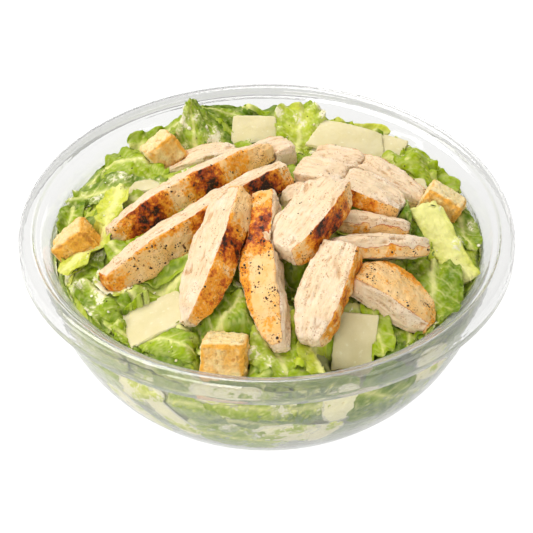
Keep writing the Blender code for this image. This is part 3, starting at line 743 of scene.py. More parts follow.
def core_finish(colours):
    """What shows between the leaves: painted shade in the gaps, as dark green, and dressed leaf
    along the wall.
    """
    made = Finish("shaded_salad", 0.45, specular=0.15)
    side = made.mark("side")
    broad, fine = made.grain(0.016, 4.0, distortion=0.6), made.grain(0.0030, 4.0)
    # The dark greens here stand in for the shadow between the leaves: painted shade.
    deep = made.mixed(made.step(broad, 0.42, 0.60), (0.045, 0.065, 0.006), (0.12, 0.17, 0.015))
    wall = made.mixed(made.step(broad, 0.40, 0.60), (0.17, 0.21, 0.02), (0.42, 0.45, 0.09))
    mix = made.mixed(side, deep, wall)
    mix = made.mixed(made.step(fine, 0.52, 0.72, 0.0, 0.7), mix, (0.50, 0.50, 0.20))
    creamy = made.maths("MULTIPLY", made.step(made.grain(0.014, 4.0, distortion=0.8), 0.50, 0.64),
                        made.step(side, 0.0, 1.0, 0.4, 1.0))
    mix = made.mixed(creamy, mix, (0.72, 0.67, 0.38))
    made.colour(mix)
    made.relief((fine, 0.0006), (made.grain(0.0012, 3.0), 0.0002))
    return made.material


def pepper_finish():
    """Ground black pepper: black hulls and tan hearts."""
    made = Finish("ground_pepper", 0.60, specular=0.4)
    tan = made.step(made.grain(0.0016, 2.0), 0.52, 0.62)
    made.colour(made.mixed(tan, (0.040, 0.018, 0.009), (0.22, 0.10, 0.035)))
    made.relief((made.grain(0.0003, 2.0), 0.00008),)
    return made.material


def dressing_finish(colours):
    """Caesar dressing: creamy, glossy, with specks of pepper and cheese."""
    made = Finish("caesar_dressing", 0.25, specular=0.5, coat=0.3, coat_roughness=0.12,
                  subsurface=0.3, radius=(1.0, 0.85, 0.5), reach=0.0015)
    speck = made.step(made.grain(0.0008, 2.0), 0.68, 0.74, 0.0, 0.8)
    made.colour(made.mixed(speck, colours.dressing, (0.45, 0.36, 0.16)))
    made.relief((made.grain(0.0012, 2.0), 0.0001),)
    return made.material


def plastic_finish(colours):
    """Clear thermoformed sheet: it lets light through and shines along its bends."""
    made = bpy.data.materials.new("clear_thermoformed_sheet")
    made.use_nodes = True
    nodes, links = made.node_tree.nodes, made.node_tree.links
    nodes.clear()
    end = nodes.new("ShaderNodeOutputMaterial")
    sheet = nodes.new("ShaderNodeBsdfPrincipled")
    sheet.inputs["Base Color"].default_value = (*colours.plastic, 1.0)
    sheet.inputs["Roughness"].default_value = 0.03
    sheet.inputs["IOR"].default_value = 1.49
    sheet.inputs["Transmission Weight"].default_value = 1.0
    ripple = nodes.new("ShaderNodeTexNoise")
    ripple.inputs["Scale"].default_value = 1.0 / 0.018
    ripple.inputs["Detail"].default_value = 1.0
    bump = nodes.new("ShaderNodeBump")
    bump.inputs["Distance"].default_value = 0.00005
    links.new(ripple.outputs["Fac"], bump.inputs["Height"])
    links.new(bump.outputs["Normal"], sheet.inputs["Normal"])
    white = nodes.new("ShaderNodeBsdfDiffuse")
    white.inputs["Color"].default_value = (0.68, 0.68, 0.68, 1.0)
    through = nodes.new("ShaderNodeBsdfTranslucent")
    through.inputs["Color"].default_value = (0.68, 0.68, 0.68, 1.0)
    haze = nodes.new("ShaderNodeMixShader")
    links.new(white.outputs["BSDF"], haze.inputs[1])
    links.new(through.outputs["BSDF"], haze.inputs[2])
    slant = nodes.new("ShaderNodeLayerWeight")
    slant.inputs["Blend"].default_value = 0.5
    amount = nodes.new("ShaderNodeMapRange")
    amount.inputs["From Min"].default_value = 0.10
    amount.inputs["From Max"].default_value = 0.95
    amount.inputs["To Min"].default_value = 0.025
    amount.inputs["To Max"].default_value = 0.22
    links.new(slant.outputs["Facing"], amount.inputs["Value"])
    hazy = nodes.new("ShaderNodeMixShader")
    links.new(amount.outputs["Result"], hazy.inputs["Fac"])
    links.new(sheet.outputs["BSDF"], hazy.inputs[1])
    links.new(haze.outputs["Shader"], hazy.inputs[2])
    clear = nodes.new("ShaderNodeBsdfTransparent")
    clear.inputs["Color"].default_value = (0.95, 0.955, 0.95, 1.0)
    path = nodes.new("ShaderNodeLightPath")
    mix = nodes.new("ShaderNodeMixShader")
    links.new(path.outputs["Is Shadow Ray"], mix.inputs["Fac"])
    links.new(hazy.outputs["Shader"], mix.inputs[1])
    links.new(clear.outputs["BSDF"], mix.inputs[2])
    links.new(mix.outputs["Shader"], end.inputs["Surface"])
    return made


# ---------------------------------------------------------------- bowl

def rounded_line(points, reach):
    """A line whose inner corners are rounded off, for a section that is turned."""
    points = [Vector(point) for point in points]
    rounded = [points[0]]
    for before, corner, after in zip(points, points[1:], points[2:]):
        back, ahead = (before - corner), (after - corner)
        cut = min(reach, 0.45 * back.length, 0.45 * ahead.length)
        start, end = corner + back.normalized() * cut, corner + ahead.normalized() * cut
        for step in range(4):
            t = step / 3.0
            rounded.append((1 - t) ** 2 * start + 2 * t * (1 - t) * corner + t * t * end)
    rounded.append(points[-1])
    return rounded


def offset_line(points, distance):
    """The line moved to its right."""
    moved = []
    for index, point in enumerate(points):
        before = points[max(index - 1, 0)]
        after = points[min(index + 1, len(points) - 1)]
        along = (after - before).normalized()
        moved.append(point + distance * Vector((along.y, -along.x)))
    return moved


def build_bowl(sizes, colours):
    """The clear bowl, turned finely from the same section as the solid."""
    upper = rounded_line(bowl_inside(), 1.6)
    under = offset_line(upper, SHEET)
    under[0].x = 0.0
    section = [p * MM for p in upper + under[::-1]]
    count, segments = len(section) - 2, sizes.bowl_segments
    inner = section[1:-1]
    points, faces = [], []
    for ring in range(segments):
        angle = TAU * ring / segments
        for p in inner:
            points.append((p.x * math.cos(angle), p.x * math.sin(angle), p.y))
    points += [(0.0, 0.0, section[0].y), (0.0, 0.0, section[-1].y)]
    top, bottom = len(points) - 2, len(points) - 1
    for ring in range(segments):
        here, ahead = ring * count, (ring + 1) % segments * count
        for step in range(count - 1):
            faces.append((here + step, here + step + 1, ahead + step + 1, ahead + step))
        faces.append((top, here, ahead, top))
        faces.append((bottom, ahead + count - 1, here + count - 1, bottom))
    mesh = bpy.data.meshes.new("bowl_sheet")
    mesh.from_pydata(points, [], [f if f[0] != f[3] else f[:3] for f in faces])
    mesh.validate()
    mesh.polygons.foreach_set("use_smooth", [True] * len(mesh.polygons))
    made = bpy.data.objects.new("bowl_sheet", mesh)
    bpy.context.scene.collection.objects.link(made)
    dress(made, plastic_finish(colours), ("bowl",))


# ---------------------------------------------------------------- chicken

def local_side(points, normals, side):
    """How much each point faces a side such as -y."""
    axis = "xyz".index(side[1])
    return normals[:, axis] * (1.0 if side[0] == "+" else -1.0)


def build_slice(name, table, step, seed):
    """A slice of breast: fibrous cut faces, a rough seared side and grill marks."""
    middle, size, angles, _, _, sides, spots = table
    made = remeshed(name, placing(middle, angles), step, 12)
    points, normals = points_of(made.data), normals_of(made.data)
    mm = points / MM
    along = mm[:, 0] / (0.5 * size[0])
    own = mm + seed * 37.0
    facing = np.full(len(mm), -1.0)
    for start in range(0, len(sides), 2):
        facing = np.maximum(facing, local_side(mm, normals, sides[start:start + 2]))
    sear = smooth(facing + 0.16 * fractal(own, 3.5, seed), 0.30, 0.72)
    if name in HALF_SEARED:
        rise = mm[:, 2] / (0.5 * size[2]) + 0.35 * fractal(own, 5.0, seed + 16)
        sear = sear * (1.0 - smooth(rise, HALF_SEARED[name], HALF_SEARED[name] + 0.35))
    char = np.zeros(len(mm))
    for spot, wide, dark in spots:
        near = np.exp(-np.abs((along - spot) / (1.25 * wide)) ** 2.5)
        char = np.maximum(char, near * dark)
    char = np.clip(char * (1.0 + 0.5 * fractal(own, 5.0, seed + 5)), 0.0, 1.25) * sear
    fibres = own * np.array([0.22, 1.0, 1.0])
    cut = 1.0 - sear
    hollow = smooth(fractal(own * np.array([0.45, 1.0, 1.0]), 2.6, seed + 9), 0.45, 0.85) * cut
    seam = np.exp(-(noise(own * np.array([0.16, 1.0, 1.0]), 3.4, seed + 12) / 0.09) ** 2)
    seam *= cut * smooth(noise(own, 7.0, seed + 13), -0.15, 0.35)
    hollow = np.maximum(hollow, 0.9 * seam)
    height = (0.75 * fractal(own, 8.0, seed + 1) + 0.5 * noise(own, 15.0, seed + 14)
              + cut * 0.38 * fractal(fibres, 1.5, seed + 2)
              + sear * (0.24 * fractal(own, 2.6, seed + 3) + 0.10 * noise(own, 0.9, seed + 4))
              - 0.65 * hollow - 0.18 * smooth(char, 0.3, 1.0))
    points = points + normals * (height * MM)[:, None]
    start, end = ROUNDED_ENDS.get(name, (0.16, 0.16))
    rounding = np.abs(along) ** 5
    points[:, 1] *= 1.0 - np.where(along < 0.0, start, end) * rounding
    points[:, 2] *= 1.0 - 0.22 * rounding
    edge = np.sort(np.abs(mm) / (0.5 * np.array(size)), axis=1)[:, 1]
    char = np.maximum(char, sear * 0.42 * smooth(edge + 0.12 * fractal(own, 4.0, seed + 15),
                                                 0.72, 1.0))
    # The hollows marked here are darkened in the finish as painted shade.
    shape_mesh(made, points, {"sear": sear, "char": char, "pit_shade": hollow})
    return made


def build_chicken(sizes, colours):
    """All the slices."""
    material = meat_finish(colours)
    for seed, (name, table) in enumerate(SLICES.items()):
        made = build_slice(name, table, sizes.slice_step, seed + 1)
        dress(made, material, (name,))


# ---------------------------------------------------------------- croutons

def build_crouton(name, table, step, seed):
    """A cube of toasted bread with open pores and worn corners."""
    middle, size, angles, brown = table
    made = remeshed(name, placing(middle, angles), step, 3)
    points, normals = points_of(made.data), normals_of(made.data)
    own = points / MM + seed * 53.0
    half = np.array(size) / 2.0
    far = np.sort(np.abs(points / MM) / half, axis=1)
    toast_and_side_shade = smooth(far[:, 1], 0.70, 0.98)
    # Sides facing +x and -y get more crust colour: painted shade, on top of the real browning along
    # the edges.
    turned = np.maximum(normals[:, 0], -normals[:, 1]) + 0.2 * fractal(own, 4.0, seed + 6)
    toast_and_side_shade = np.clip(toast_and_side_shade + 0.70 * smooth(turned, 0.55, 0.90), 0.0, 1.3)
    near, second = cells(own * np.array([1.0, 1.0, 0.8]), 2.3, seed)
    small = cells(own, 1.05, seed + 3)[0]
    open_pore = smooth(0.30 - near + 0.34 * noise(own, 3.0, seed + 2), 0.0, 0.16)
    fine_pore = smooth(0.36 - small, 0.0, 0.2)
    height = (0.50 * fractal(own, 5.0, seed + 1) + 0.34 * fractal(own, 1.7, seed + 4, 2)
              - 0.70 * open_pore - 0.34 * fine_pore * (1.0 - open_pore))
    # The pores marked here are darkened in the finish as painted shade.
    pore_shade = np.clip(open_pore + 0.4 * fine_pore, 0.0, 1.0)
    points = points + normals * (height * MM)[:, None]
    shape_mesh(made, points, {"toast_and_side_shade": toast_and_side_shade, "pore_shade": pore_shade, "brown": np.full(len(points), brown)})
    return made


def build_croutons(sizes, colours):
    """All the croutons."""
    material = crouton_finish(colours)
    for seed, (name, table) in enumerate(CROUTONS.items()):
        made = build_crouton(name, table, sizes.crouton_step, seed + 40)
        dress(made, material, (name,))


# ---------------------------------------------------------------- cheese

def build_shaving(name, table, step, seed):
    """A thin shaving with a torn edge and faint ridges from the shaver."""
    middle, size, angles, _, _ = table
    made = remeshed(name, placing(middle, angles), step, 2)
    points, normals = points_of(made.data), normals_of(made.data)
    own = points / MM + seed * 29.0
    half = np.array(size) / 2.0
    edge = smooth(1.0 - np.abs(normals[:, 2]), 0.35, 0.8)
    ridges = np.sin(own[:, 1] * 1.4 + 1.5 * noise(own, 6.0, seed))
    height = (0.10 * fractal(own, 4.0, seed + 1) + 0.012 * ridges * (1.0 - edge)
              + edge * 0.22 * fractal(own, 2.2, seed + 2))
    points = points + normals * (height * MM)[:, None]
    bend = noise(np.stack([own[:, 0], own[:, 1], own[:, 0] * 0.0], axis=1), 11.0, seed + 3)
    points[:, 2] += 0.35 * MM * bend
    shape_mesh(made, points, {"edge": edge})
    return made


def build_cheese(sizes, colours):
    """All the shavings."""
    material = cheese_finish(colours)
    for seed, (name, table) in enumerate(SHAVINGS.items()):
        made = build_shaving(name, table, sizes.cheese_step, seed + 60)
        dress(made, material, (name,))


# ---------------------------------------------------------------- leaves

STRIP_RIB = 3.5  # a rib this wide (mm) has hardly any blade left: the leaf is a straight strip


def leaf_sheet(size, fold, curl, ruffle, rib, tone, seed, step):
    """A torn piece of leaf in its own axes, in millimetres, and what its surface shows."""
    length, width = size
    rows, columns = max(10, round(length / step)), max(8, round(width / step))
    u, v = np.meshgrid(
        np.linspace(-1, 1, rows + 1), np.linspace(-1, 1, columns + 1), indexing="ij")
    u, v = u.ravel(), v.ravel()
    rim = np.maximum(np.abs(u), np.abs(v))
    square = 0.95 if rib > STRIP_RIB else 0.3
    x = u * (square + (1.0 - square) * np.sqrt(1.0 - 0.5 * v * v))
    y = v * (square + (1.0 - square) * np.sqrt(1.0 - 0.5 * u * u))
    angle = np.arctan2(y, x)
    ring = np.stack([np.cos(angle), np.sin(angle), np.zeros(len(u))], axis=1)
    loose = 1.3 * (1.0 - square)
    uneven = (1.0 + loose * 0.20 * noise(ring, 0.8, seed)
              + loose * 0.07 * noise(ring, 0.25, seed + 1) * rim ** 2
              + 0.03 * noise(ring, 0.09, seed + 2) * rim ** 6)
    x, y = x * uneven * length / 2.0, y * uneven * width / 2.0
    flat = np.stack([x, y, np.full(len(x), seed * 11.0)], axis=1)
    bent_x = x + 1.3 * noise(flat, 9.0, seed + 3)
    bent_y = y + 1.3 * noise(flat, 9.0, seed + 4)
    from_rib = np.abs(bent_y)
    rib_wide = max(rib, 0.2) * (1.0 - 0.35 * u)
    rib_mark = np.exp(-(from_rib / rib_wide) ** 2) * min(1.0, rib)
    branch = (bent_x - 0.75 * from_rib) / 5.5 + 0.5 * (bent_y > 0.0)
    line = np.exp(-(((branch % 1.0) - 0.5) * 5.5 / 0.34) ** 2)
    line = line * np.clip(1.25 - from_rib / (0.55 * width), 0.0, 1.0)
    near, second = cells(flat, 2.5, seed + 5)
    net = 1.0 - smooth(second - near, 0.02, 0.20)
    bulge = smooth(second - near, 0.0, 0.75) * (0.35 + 0.65 * tone)
    phase = angle * (length + width) / 4.0 * TAU / 7.5 + 2.5 * noise(ring, 0.5, seed + 6)
    z = (1.5 * noise(flat, 12.0, seed + 7) + 0.85 * noise(flat, 5.0, seed + 8)
         + 0.25 * noise(flat, 2.4, seed + 13)
         + fold * (np.sqrt(y * y + 1.5) - 1.2) + curl * x * x / (0.5 * length)
         + ruffle * 1.2 * rim ** 2.5 * np.sin(phase) * (0.7 + 0.5 * noise(ring, 0.7, seed + 9))
         + 0.30 * rib * rib_mark)
    detail = 0.95 * bulge - 0.34 * line
    if rib > STRIP_RIB:
        detail = 0.22 * np.sin(2.4 * bent_y + 2.0 * noise(flat, 14.0, seed + 12)) + 0.3 * bulge
    vein = np.clip(rib_mark + 0.62 * line + 0.24 * net, 0.0, 1.0)
    local_tone = tone * (0.70 + 0.30 * smooth(from_rib, 1.0, 0.30 * width))
    local_tone = np.clip(local_tone + 0.13 * noise(flat, 6.0, seed + 10), 0.0, 1.0)
    return {"flat": np.stack([x, y, z], axis=1), "detail": detail, "vein": vein, "rim": rim,
            "tone": local_tone, "rows": rows, "columns": columns, "rib": rib_mark * rib}


def dressing_on(world, amount, seed, size):
    """Where dressing clings to a leaf, 0 to 1."""
    patch = noise(world, size, seed) + 0.45 * noise(world, 0.33 * size, seed + 1)
    return smooth(patch + (amount - 0.62) * 1.5, 0.0, 0.75)


def closed_sheet(leaf, world, thickness, coat_amount, out=1.0, patch=8.0):
    """Both faces and the edges of a leaf whose middle surface is given, in millimetres."""
    rows, columns = leaf["rows"], leaf["columns"]
    grid = world.reshape(rows + 1, columns + 1, 3)
    across = np.cross(np.gradient(grid, axis=0), np.gradient(grid, axis=1)).reshape(-1, 3)
    across /= np.maximum(np.linalg.norm(across, axis=1, keepdims=True), 1e-9)
    coat = dressing_on(world, coat_amount, 700, patch)
    if out < 0.0:
        edge = smooth(leaf["rim"] + 0.3 * noise(world, 4.0, 701), 0.80, 1.0)
        coat = np.maximum(coat, min(0.85, coat_amount) * edge)
    detail = leaf["detail"] * (1.0 - 0.35 * coat) + 0.30 * coat * coat
    middle = world + across * (out * detail)[:, None]
    half = 0.5 * thickness * (1.0 - 0.6 * leaf["rim"] ** 8)[:, None]
    heavy = 0.55 * leaf["rib"][:, None]
    upper, under = middle + across * half, middle - across * (half + heavy)
    count = len(world)
    index = np.arange(count).reshape(rows + 1, columns + 1)
    a, b = index[:-1, :-1].ravel(), index[1:, :-1].ravel()
    c, d = index[1:, 1:].ravel(), index[:-1, 1:].ravel()
    faces = [np.stack([a, b, c, d], axis=1), np.stack([d, c, b, a], axis=1) + count]
    loop = np.concatenate([index[:-1, 0], index[-1, :-1], index[:0:-1, -1], index[0, :0:-1]])
    ahead = np.roll(loop, -1)
    faces.append(np.stack([ahead, loop, loop + count, ahead + count], axis=1))
    marks = {"tone": leaf["tone"], "vein": leaf["vein"], "coat": coat}
    return (np.concatenate([upper, under]), np.concatenate(faces),
            {key: np.tile(value, 2) for key, value in marks.items()})


class Heap:
    """Leaves gathered into one mesh."""

    def __init__(self):
        self.points, self.faces, self.marks, self.count = [], [], {}, 0

    def add(self, part, skip=False):
        """Add points, faces and marks."""
        if skip:
            return
        points, faces, marks = part
        self.points.append(points)
        self.faces.append(faces + self.count)
        self.count += len(points)
        for key, values in marks.items():
            self.marks.setdefault(key, []).append(values)

    def made(self, name):
        """The object that holds them all."""
        marks = {key: np.concatenate(values) for key, values in self.marks.items()}
        return new_object(name, np.concatenate(self.points) * MM, np.concatenate(self.faces), marks)


def inside_wall(world, inset):
    """Points in millimetres, eased off the wall where they would pass through it."""
    reach = np.hypot(world[:, 0], world[:, 1])
    limit = wall_inside(world[:, 2]) - inset
    soft = 3.0
    over = np.maximum(reach - (limit - soft), 0.0)
    eased = np.where(over > 0.0, limit - soft + soft * (1.0 - np.exp(-over / soft)), reach)
    factor = eased / np.maximum(reach, 1e-6)
    moved = world.copy()
    moved[:, 0] *= factor
    moved[:, 1] *= factor
    return moved


def lay_leaf(leaf, middle, angles, drape, lift, ground, ceiling, inset):
    """Put a leaf into the dish: free, or following the heap, and never through the wall."""
    turned = np.array(placing((0, 0, 0), angles).to_3x3())
    world = leaf["flat"] @ turned.T + np.array(middle)
    if drape > 0.0:
        own_height = world[:, 2] - middle[2]
        followed = ground.at(world[:, 0], world[:, 1]) + lift + (1.0 - 0.45 * drape) * own_height
        world[:, 2] = (1.0 - drape) * world[:, 2] + drape * followed
        under = ceiling.at(world[:, 0], world[:, 1]) - 0.9
        world[:, 2] = np.where(under < world[:, 2], np.maximum(under, world[:, 2] - 12.0),
                               world[:, 2])
    return inside_wall(world, inset)


def along_rib(leaf, start, end, lean):
    """Put a leaf with its rib from one place to another, leaning to its left."""
    start, end = np.array(start, dtype=float), np.array(end, dtype=float)
    forward = (end - start) / np.linalg.norm(end - start)
    left = np.cross((0.0, 0.0, 1.0), forward)
    left /= np.linalg.norm(left)
    up = np.cross(forward, left)
    lean = math.radians(lean)
    side = math.cos(lean) * left + math.sin(lean) * up
    out = math.cos(lean) * up - math.sin(lean) * left
    flat = leaf["flat"]
    return (0.5 * (start + end) + flat[:, :1] * forward + flat[:, 1:2] * side + flat[:, 2:] * out)


def build_named_leaves(sizes, material, ground, ceiling):
    """The leaves that can be told apart."""
    heap, laid = Heap(), []
    for seed, table in enumerate(LEAVES.values()):
        start, end, width, lean, narrow, fold, ruffle, rib, tone, coat = table
        length = math.dist(start, end)
        leaf = leaf_sheet((length, width), fold, 0.05, ruffle, rib, tone, 100 + 20 * seed,
                          sizes.leaf_step / MM * 0.7)
        flat = leaf["flat"]
        flat[:, 1] *= 1.0 - narrow * np.clip(flat[:, 0] / length + 0.5, 0.0, 1.0)
        world = along_rib(leaf, start, end, lean)
        least = ground.at(world[:, 0], world[:, 1]) + 0.8 + 0.35 * flat[:, 2]
        free = ceiling.at(world[:, 0], world[:, 1]) > least
        world[:, 2] = np.where(free, np.maximum(world[:, 2], least), world[:, 2])
        under = ceiling.at(world[:, 0], world[:, 1]) - 0.9
        world[:, 2] = np.where(under < world[:, 2], np.maximum(under, world[:, 2] - 14.0),
                               world[:, 2])
        world = inside_wall(world, 0.5 + 0.04 * seed)
        laid.append(world)
        heap.add(closed_sheet(leaf, world, sizes.leaf_thickness / MM, coat))
    made = heap.made("leaves_on_top")
    dress(made, material, ("salad",))
    ceiling.lower(np.concatenate(laid))
    return made


def build_cover_leaves(sizes, material, ground, ceiling):
    """Leaves that cover the rest of the heap, overlapping at all angles."""
    draw = np.random.default_rng(11)
    spacing = sizes.leaf_spacing / MM
    heaps, seed = {"outer_leaves_all_over": Heap(), "heart_leaves_all_over": Heap()}, 900
    for row in range(-8, 9):
        for column in range(-8, 9):
            x = (column + 0.5 * (row % 2)) * spacing + draw.uniform(-3.0, 3.0)
            y = row * spacing * 0.87 + draw.uniform(-3.0, 3.0)
            turn, tilt, lean = draw.uniform(0, 360), draw.uniform(-14, 14), draw.uniform(-12, 12)
            length, width = draw.uniform(27, 40), draw.uniform(18, 27)
            tone, coat = draw.choice([0.3, 0.45, 0.55, 0.62, 0.75, 0.9]), draw.uniform(0.1, 0.75)
            rib, ruffle = draw.choice([0.0, 0.5, 1.0, 1.8]), draw.uniform(0.5, 1.8)
            lift, inset = draw.uniform(-0.4, 1.8), draw.uniform(0.4, 1.6)
            fold, curl = draw.uniform(-0.25, 0.35), draw.uniform(-0.1, 0.25)
            seed += 20
            reach = math.hypot(x, y)
            if reach > 77.0:
                continue
            if reach > 62.0:
                turn = math.degrees(math.atan2(y, x)) + 90.0 + draw.uniform(-30, 30)
            around = np.array([[x + dx, y + dy] for dx in (-9, 0, 9) for dy in (-9, 0, 9)])
            height = ground.at(around[:, 0], around[:, 1])
            if np.all(ceiling.at(around[:, 0], around[:, 1]) < height + 6.0):
                continue
            leaf = leaf_sheet((length, width), fold, curl, ruffle, rib, tone, seed,
                              sizes.leaf_step / MM)
            world = lay_leaf(leaf, (x, y, float(height[4])), (tilt, lean, turn), 1.0, lift,
                             ground, ceiling, inset)
            kind = "outer_leaves_all_over" if tone > 0.58 else "heart_leaves_all_over"
            heaps[kind].add(closed_sheet(leaf, world, sizes.leaf_thickness / MM, coat))
    laid = [heap.made(name) for name, heap in heaps.items()]
    for made in laid:
        dress(made, material, ("salad",))
    return laid


# ---------------------------------------------------------------- leaves at the wall

WALL_PATH = WALL_LINE[1:12]
WALL_LENGTH = np.concatenate([[0.0], np.cumsum(np.hypot(*np.diff(WALL_PATH, axis=0).T))])


def on_wall(leaf, angle, height, turn, depth, wave):
    """Press a leaf against the wall: millimetres, with its own z pointing inwards."""
    turn = math.radians(turn)
    flat = leaf["flat"]
    x = flat[:, 0] * math.cos(turn) - flat[:, 1] * math.sin(turn)
    y = flat[:, 0] * math.sin(turn) + flat[:, 1] * math.cos(turn)
    start = np.interp(height, WALL_PATH[:, 1], WALL_LENGTH)
    up = np.clip(start + y, 1.0, WALL_LENGTH[-1] - 2.0)
    radius = np.interp(up, WALL_LENGTH, WALL_PATH[:, 0])
    level = np.interp(up, WALL_LENGTH, WALL_PATH[:, 1])
    slope_r = (np.interp(up + 2.0, WALL_LENGTH, WALL_PATH[:, 0])
               - np.interp(up - 2.0, WALL_LENGTH, WALL_PATH[:, 0]))
    slope_z = (np.interp(up + 2.0, WALL_LENGTH, WALL_PATH[:, 1])
               - np.interp(up - 2.0, WALL_LENGTH, WALL_PATH[:, 1]))
    long = np.hypot(slope_r, slope_z)
    inward = np.maximum(depth + wave * flat[:, 2] + 0.5 * leaf["detail"], -WALL_INTO)
    radius = radius - inward * slope_z / long
    level = level + inward * slope_r / long
    turn_round = math.radians(angle) + x / np.maximum(radius, 20.0)
    return np.stack([radius * np.cos(turn_round), radius * np.sin(turn_round), level], axis=1)


def build_wall_leaves(sizes, material):
    """Leaves that show through the clear wall."""
    draw = np.random.default_rng(23)
    heap = Heap()
    step = sizes.leaf_step / MM
    for seed, table in enumerate(WALL_LEAVES.values()):
        angle, height, size, turn, tone, coat, depth, ruffle = table
        leaf = leaf_sheet(size, 0.0, 0.0, ruffle, 0.8, tone, 3000 + 20 * seed, step)
        world = on_wall(leaf, angle, height, turn, depth, 0.12)
        leaf["detail"] = leaf["detail"] * 0.0
        heap.add(closed_sheet(leaf, world, sizes.leaf_thickness / MM, coat, -1.0, 8.0))
    seed = 4000
    for ring, (height, count) in enumerate(((6, 6), (17, 8), (30, 10), (43, 13))):
        for place in range(count):
            angle = 360.0 * (place + 0.5 * (ring % 2)) / count + draw.uniform(-6, 6)
            shows_crouton = height > 20 and 270.0 < angle % 360.0 < 308.0
            size = (draw.uniform(46, 66), draw.uniform(26, 38))
            tone = draw.choice([0.30, 0.45, 0.60, 0.75, 0.90, 1.00])
            leaf = leaf_sheet(size, 0.0, 0.0, draw.uniform(0.4, 1.4), draw.choice([0.0, 0.8, 1.6]),
                              tone, seed, step * 1.5)
            world = on_wall(leaf, angle, height + draw.uniform(-3, 3), draw.uniform(-60, 60),
                            0.9 + 0.30 * ((3 * place + ring) % 7), 0.25)
            leaf["detail"] = leaf["detail"] * 0.0
            heap.add(closed_sheet(leaf, world, sizes.leaf_thickness / MM,
                                  draw.uniform(0.4, 1.1), -1.0, 10.0), skip=shows_crouton)
            seed += 20
    made = heap.made("leaves_at_wall")
    dress(made, material, ("salad",))


def build_core(material, ground):
    """What lies under the leaves: it fills the bowl and reaches just into the wall."""
    around, out, down = 180, 44, 30
    angles = np.arange(around) * TAU / around
    rings = []
    edge = 78.5
    for step in range(out + 1):
        reach = edge * (step / out)
        x, y = reach * np.cos(angles), reach * np.sin(angles)
        below = CORE_BELOW - 3.0 * smooth(np.full(around, reach), 60.0, edge)
        rings.append(np.stack([x, y, ground.at(x, y) - below], axis=1))
    top_height = rings[-1][:, 2]
    for step in range(1, down + 1):
        part = step / down
        level = top_height * (1.0 - part) + 2.2 * part
        reach = wall_inside(level) + WALL_INTO
        rings.append(np.stack([reach * np.cos(angles), reach * np.sin(angles), level], axis=1))
    for reach in (48.0, 24.0, 0.0):
        rings.append(np.stack([reach * np.cos(angles), reach * np.sin(angles),
                               np.full(around, SHEET - WALL_INTO)], axis=1))
    points = np.concatenate(rings)
    relief = 1.5 * fractal(points, 9.0, 77, 4)
    reach = np.hypot(points[:, 0], points[:, 1])
    level = points[:, 2]
    row = np.repeat(np.arange(len(rings)), around)
    points[:, 2] += np.where(row <= out, relief, 0.0)
    side = (row > out + 1) & (row <= out + down)
    pull = np.where(side, np.maximum(1.9 + 1.7 * fractal(points, 8.0, 78, 4), 0.0), 0.0)
    factor = 1.0 - pull / np.maximum(reach, 1.0)
    points[:, 0] *= factor
    points[:, 1] *= factor
    index = np.arange(len(points)).reshape(len(rings), around)
    a, b = index[:-1], index[1:]
    faces = np.stack([a, b, np.roll(b, -1, axis=1), np.roll(a, -1, axis=1)], axis=-1).reshape(-1, 4)
    # The top of the core shows between the leaves as painted shade; its side is dressed leaf at the
    # wall.
    side_mark = smooth(row.astype(float), out - 1.0, out + 4.0)
    made = new_object("salad_core", points * MM, faces, {"side": side_mark})
    shape = bmesh.new()
    shape.from_mesh(made.data)
    bmesh.ops.remove_doubles(shape, verts=shape.verts, dist=0.00002)
    bmesh.ops.recalc_face_normals(shape, faces=shape.faces)
    shape.to_mesh(made.data)
    shape.free()
    dress(made, material, ("salad",))


# ---------------------------------------------------------------- grains and drops

def grain_shape():
    """Corners and faces of a small rough ball."""
    shape = bmesh.new()
    bmesh.ops.create_icosphere(shape, subdivisions=1, radius=1.0)
    corners = np.array([v.co[:] for v in shape.verts])
    faces = np.array([[v.index for v in f.verts] for f in shape.faces])
    shape.free()
    return corners, faces


def strewn(pieces, count, draw, weight, size, flatness, lift):
    """Grains on the upward parts of some pieces, as points, faces and marks."""
    corners, faces = grain_shape()
    heap = Heap()
    spots, leans = [], []
    for made in pieces:
        turned = np.array(made.matrix_world)
        places = points_of(made.data) @ turned[:3, :3].T + turned[:3, 3]
        normals = normals_of(made.data) @ turned[:3, :3].T
        chance = weight(made, places / MM, normals)
        spots.append(np.concatenate([places / MM, chance[:, None]], axis=1))
        leans.append(normals)
    spots, leans = np.concatenate(spots), np.concatenate(leans)
    chance = np.maximum(spots[:, 3], 0.0)
    picked = draw.choice(len(spots), size=count, p=chance / chance.sum())
    for spot in picked:
        up = leans[spot]
        side = np.cross(up, draw.normal(size=3))
        side /= np.linalg.norm(side)
        other = np.cross(up, side)
        radius = size[0] + (size[1] - size[0]) * draw.uniform() ** 2.5
        shape = corners * draw.uniform(0.65, 1.25, size=corners.shape)
        shape = (shape[:, :1] * side * radius * draw.uniform(0.8, 1.5)
                 + shape[:, 1:2] * other * radius
                 + shape[:, 2:] * up * radius * draw.uniform(*flatness))
        heap.add((spots[spot, :3] + up * radius * lift + shape, faces, {}))
    return heap


LEAVES_ABOVE = ("leaves_on_top", "outer_leaves_all_over", "heart_leaves_all_over")


def visible_top(name, floor):
    """Weight for strewing: facing up and above a level."""
    def weight(made, places, normals):
        chance = np.clip(normals[:, 2] + 0.15, 0.0, 1.0) * (places[:, 2] > floor)
        chance = chance * smooth(noise(places, 5.0, 88), -0.1, 0.5) ** 1.5
        layer = made.data.attributes.get(name) if name else None
        if layer is not None:
            values = np.empty(len(places), dtype=np.float32)
            layer.data.foreach_get("value", values)
            chance = chance * (0.06 + values)
        return chance
    return weight


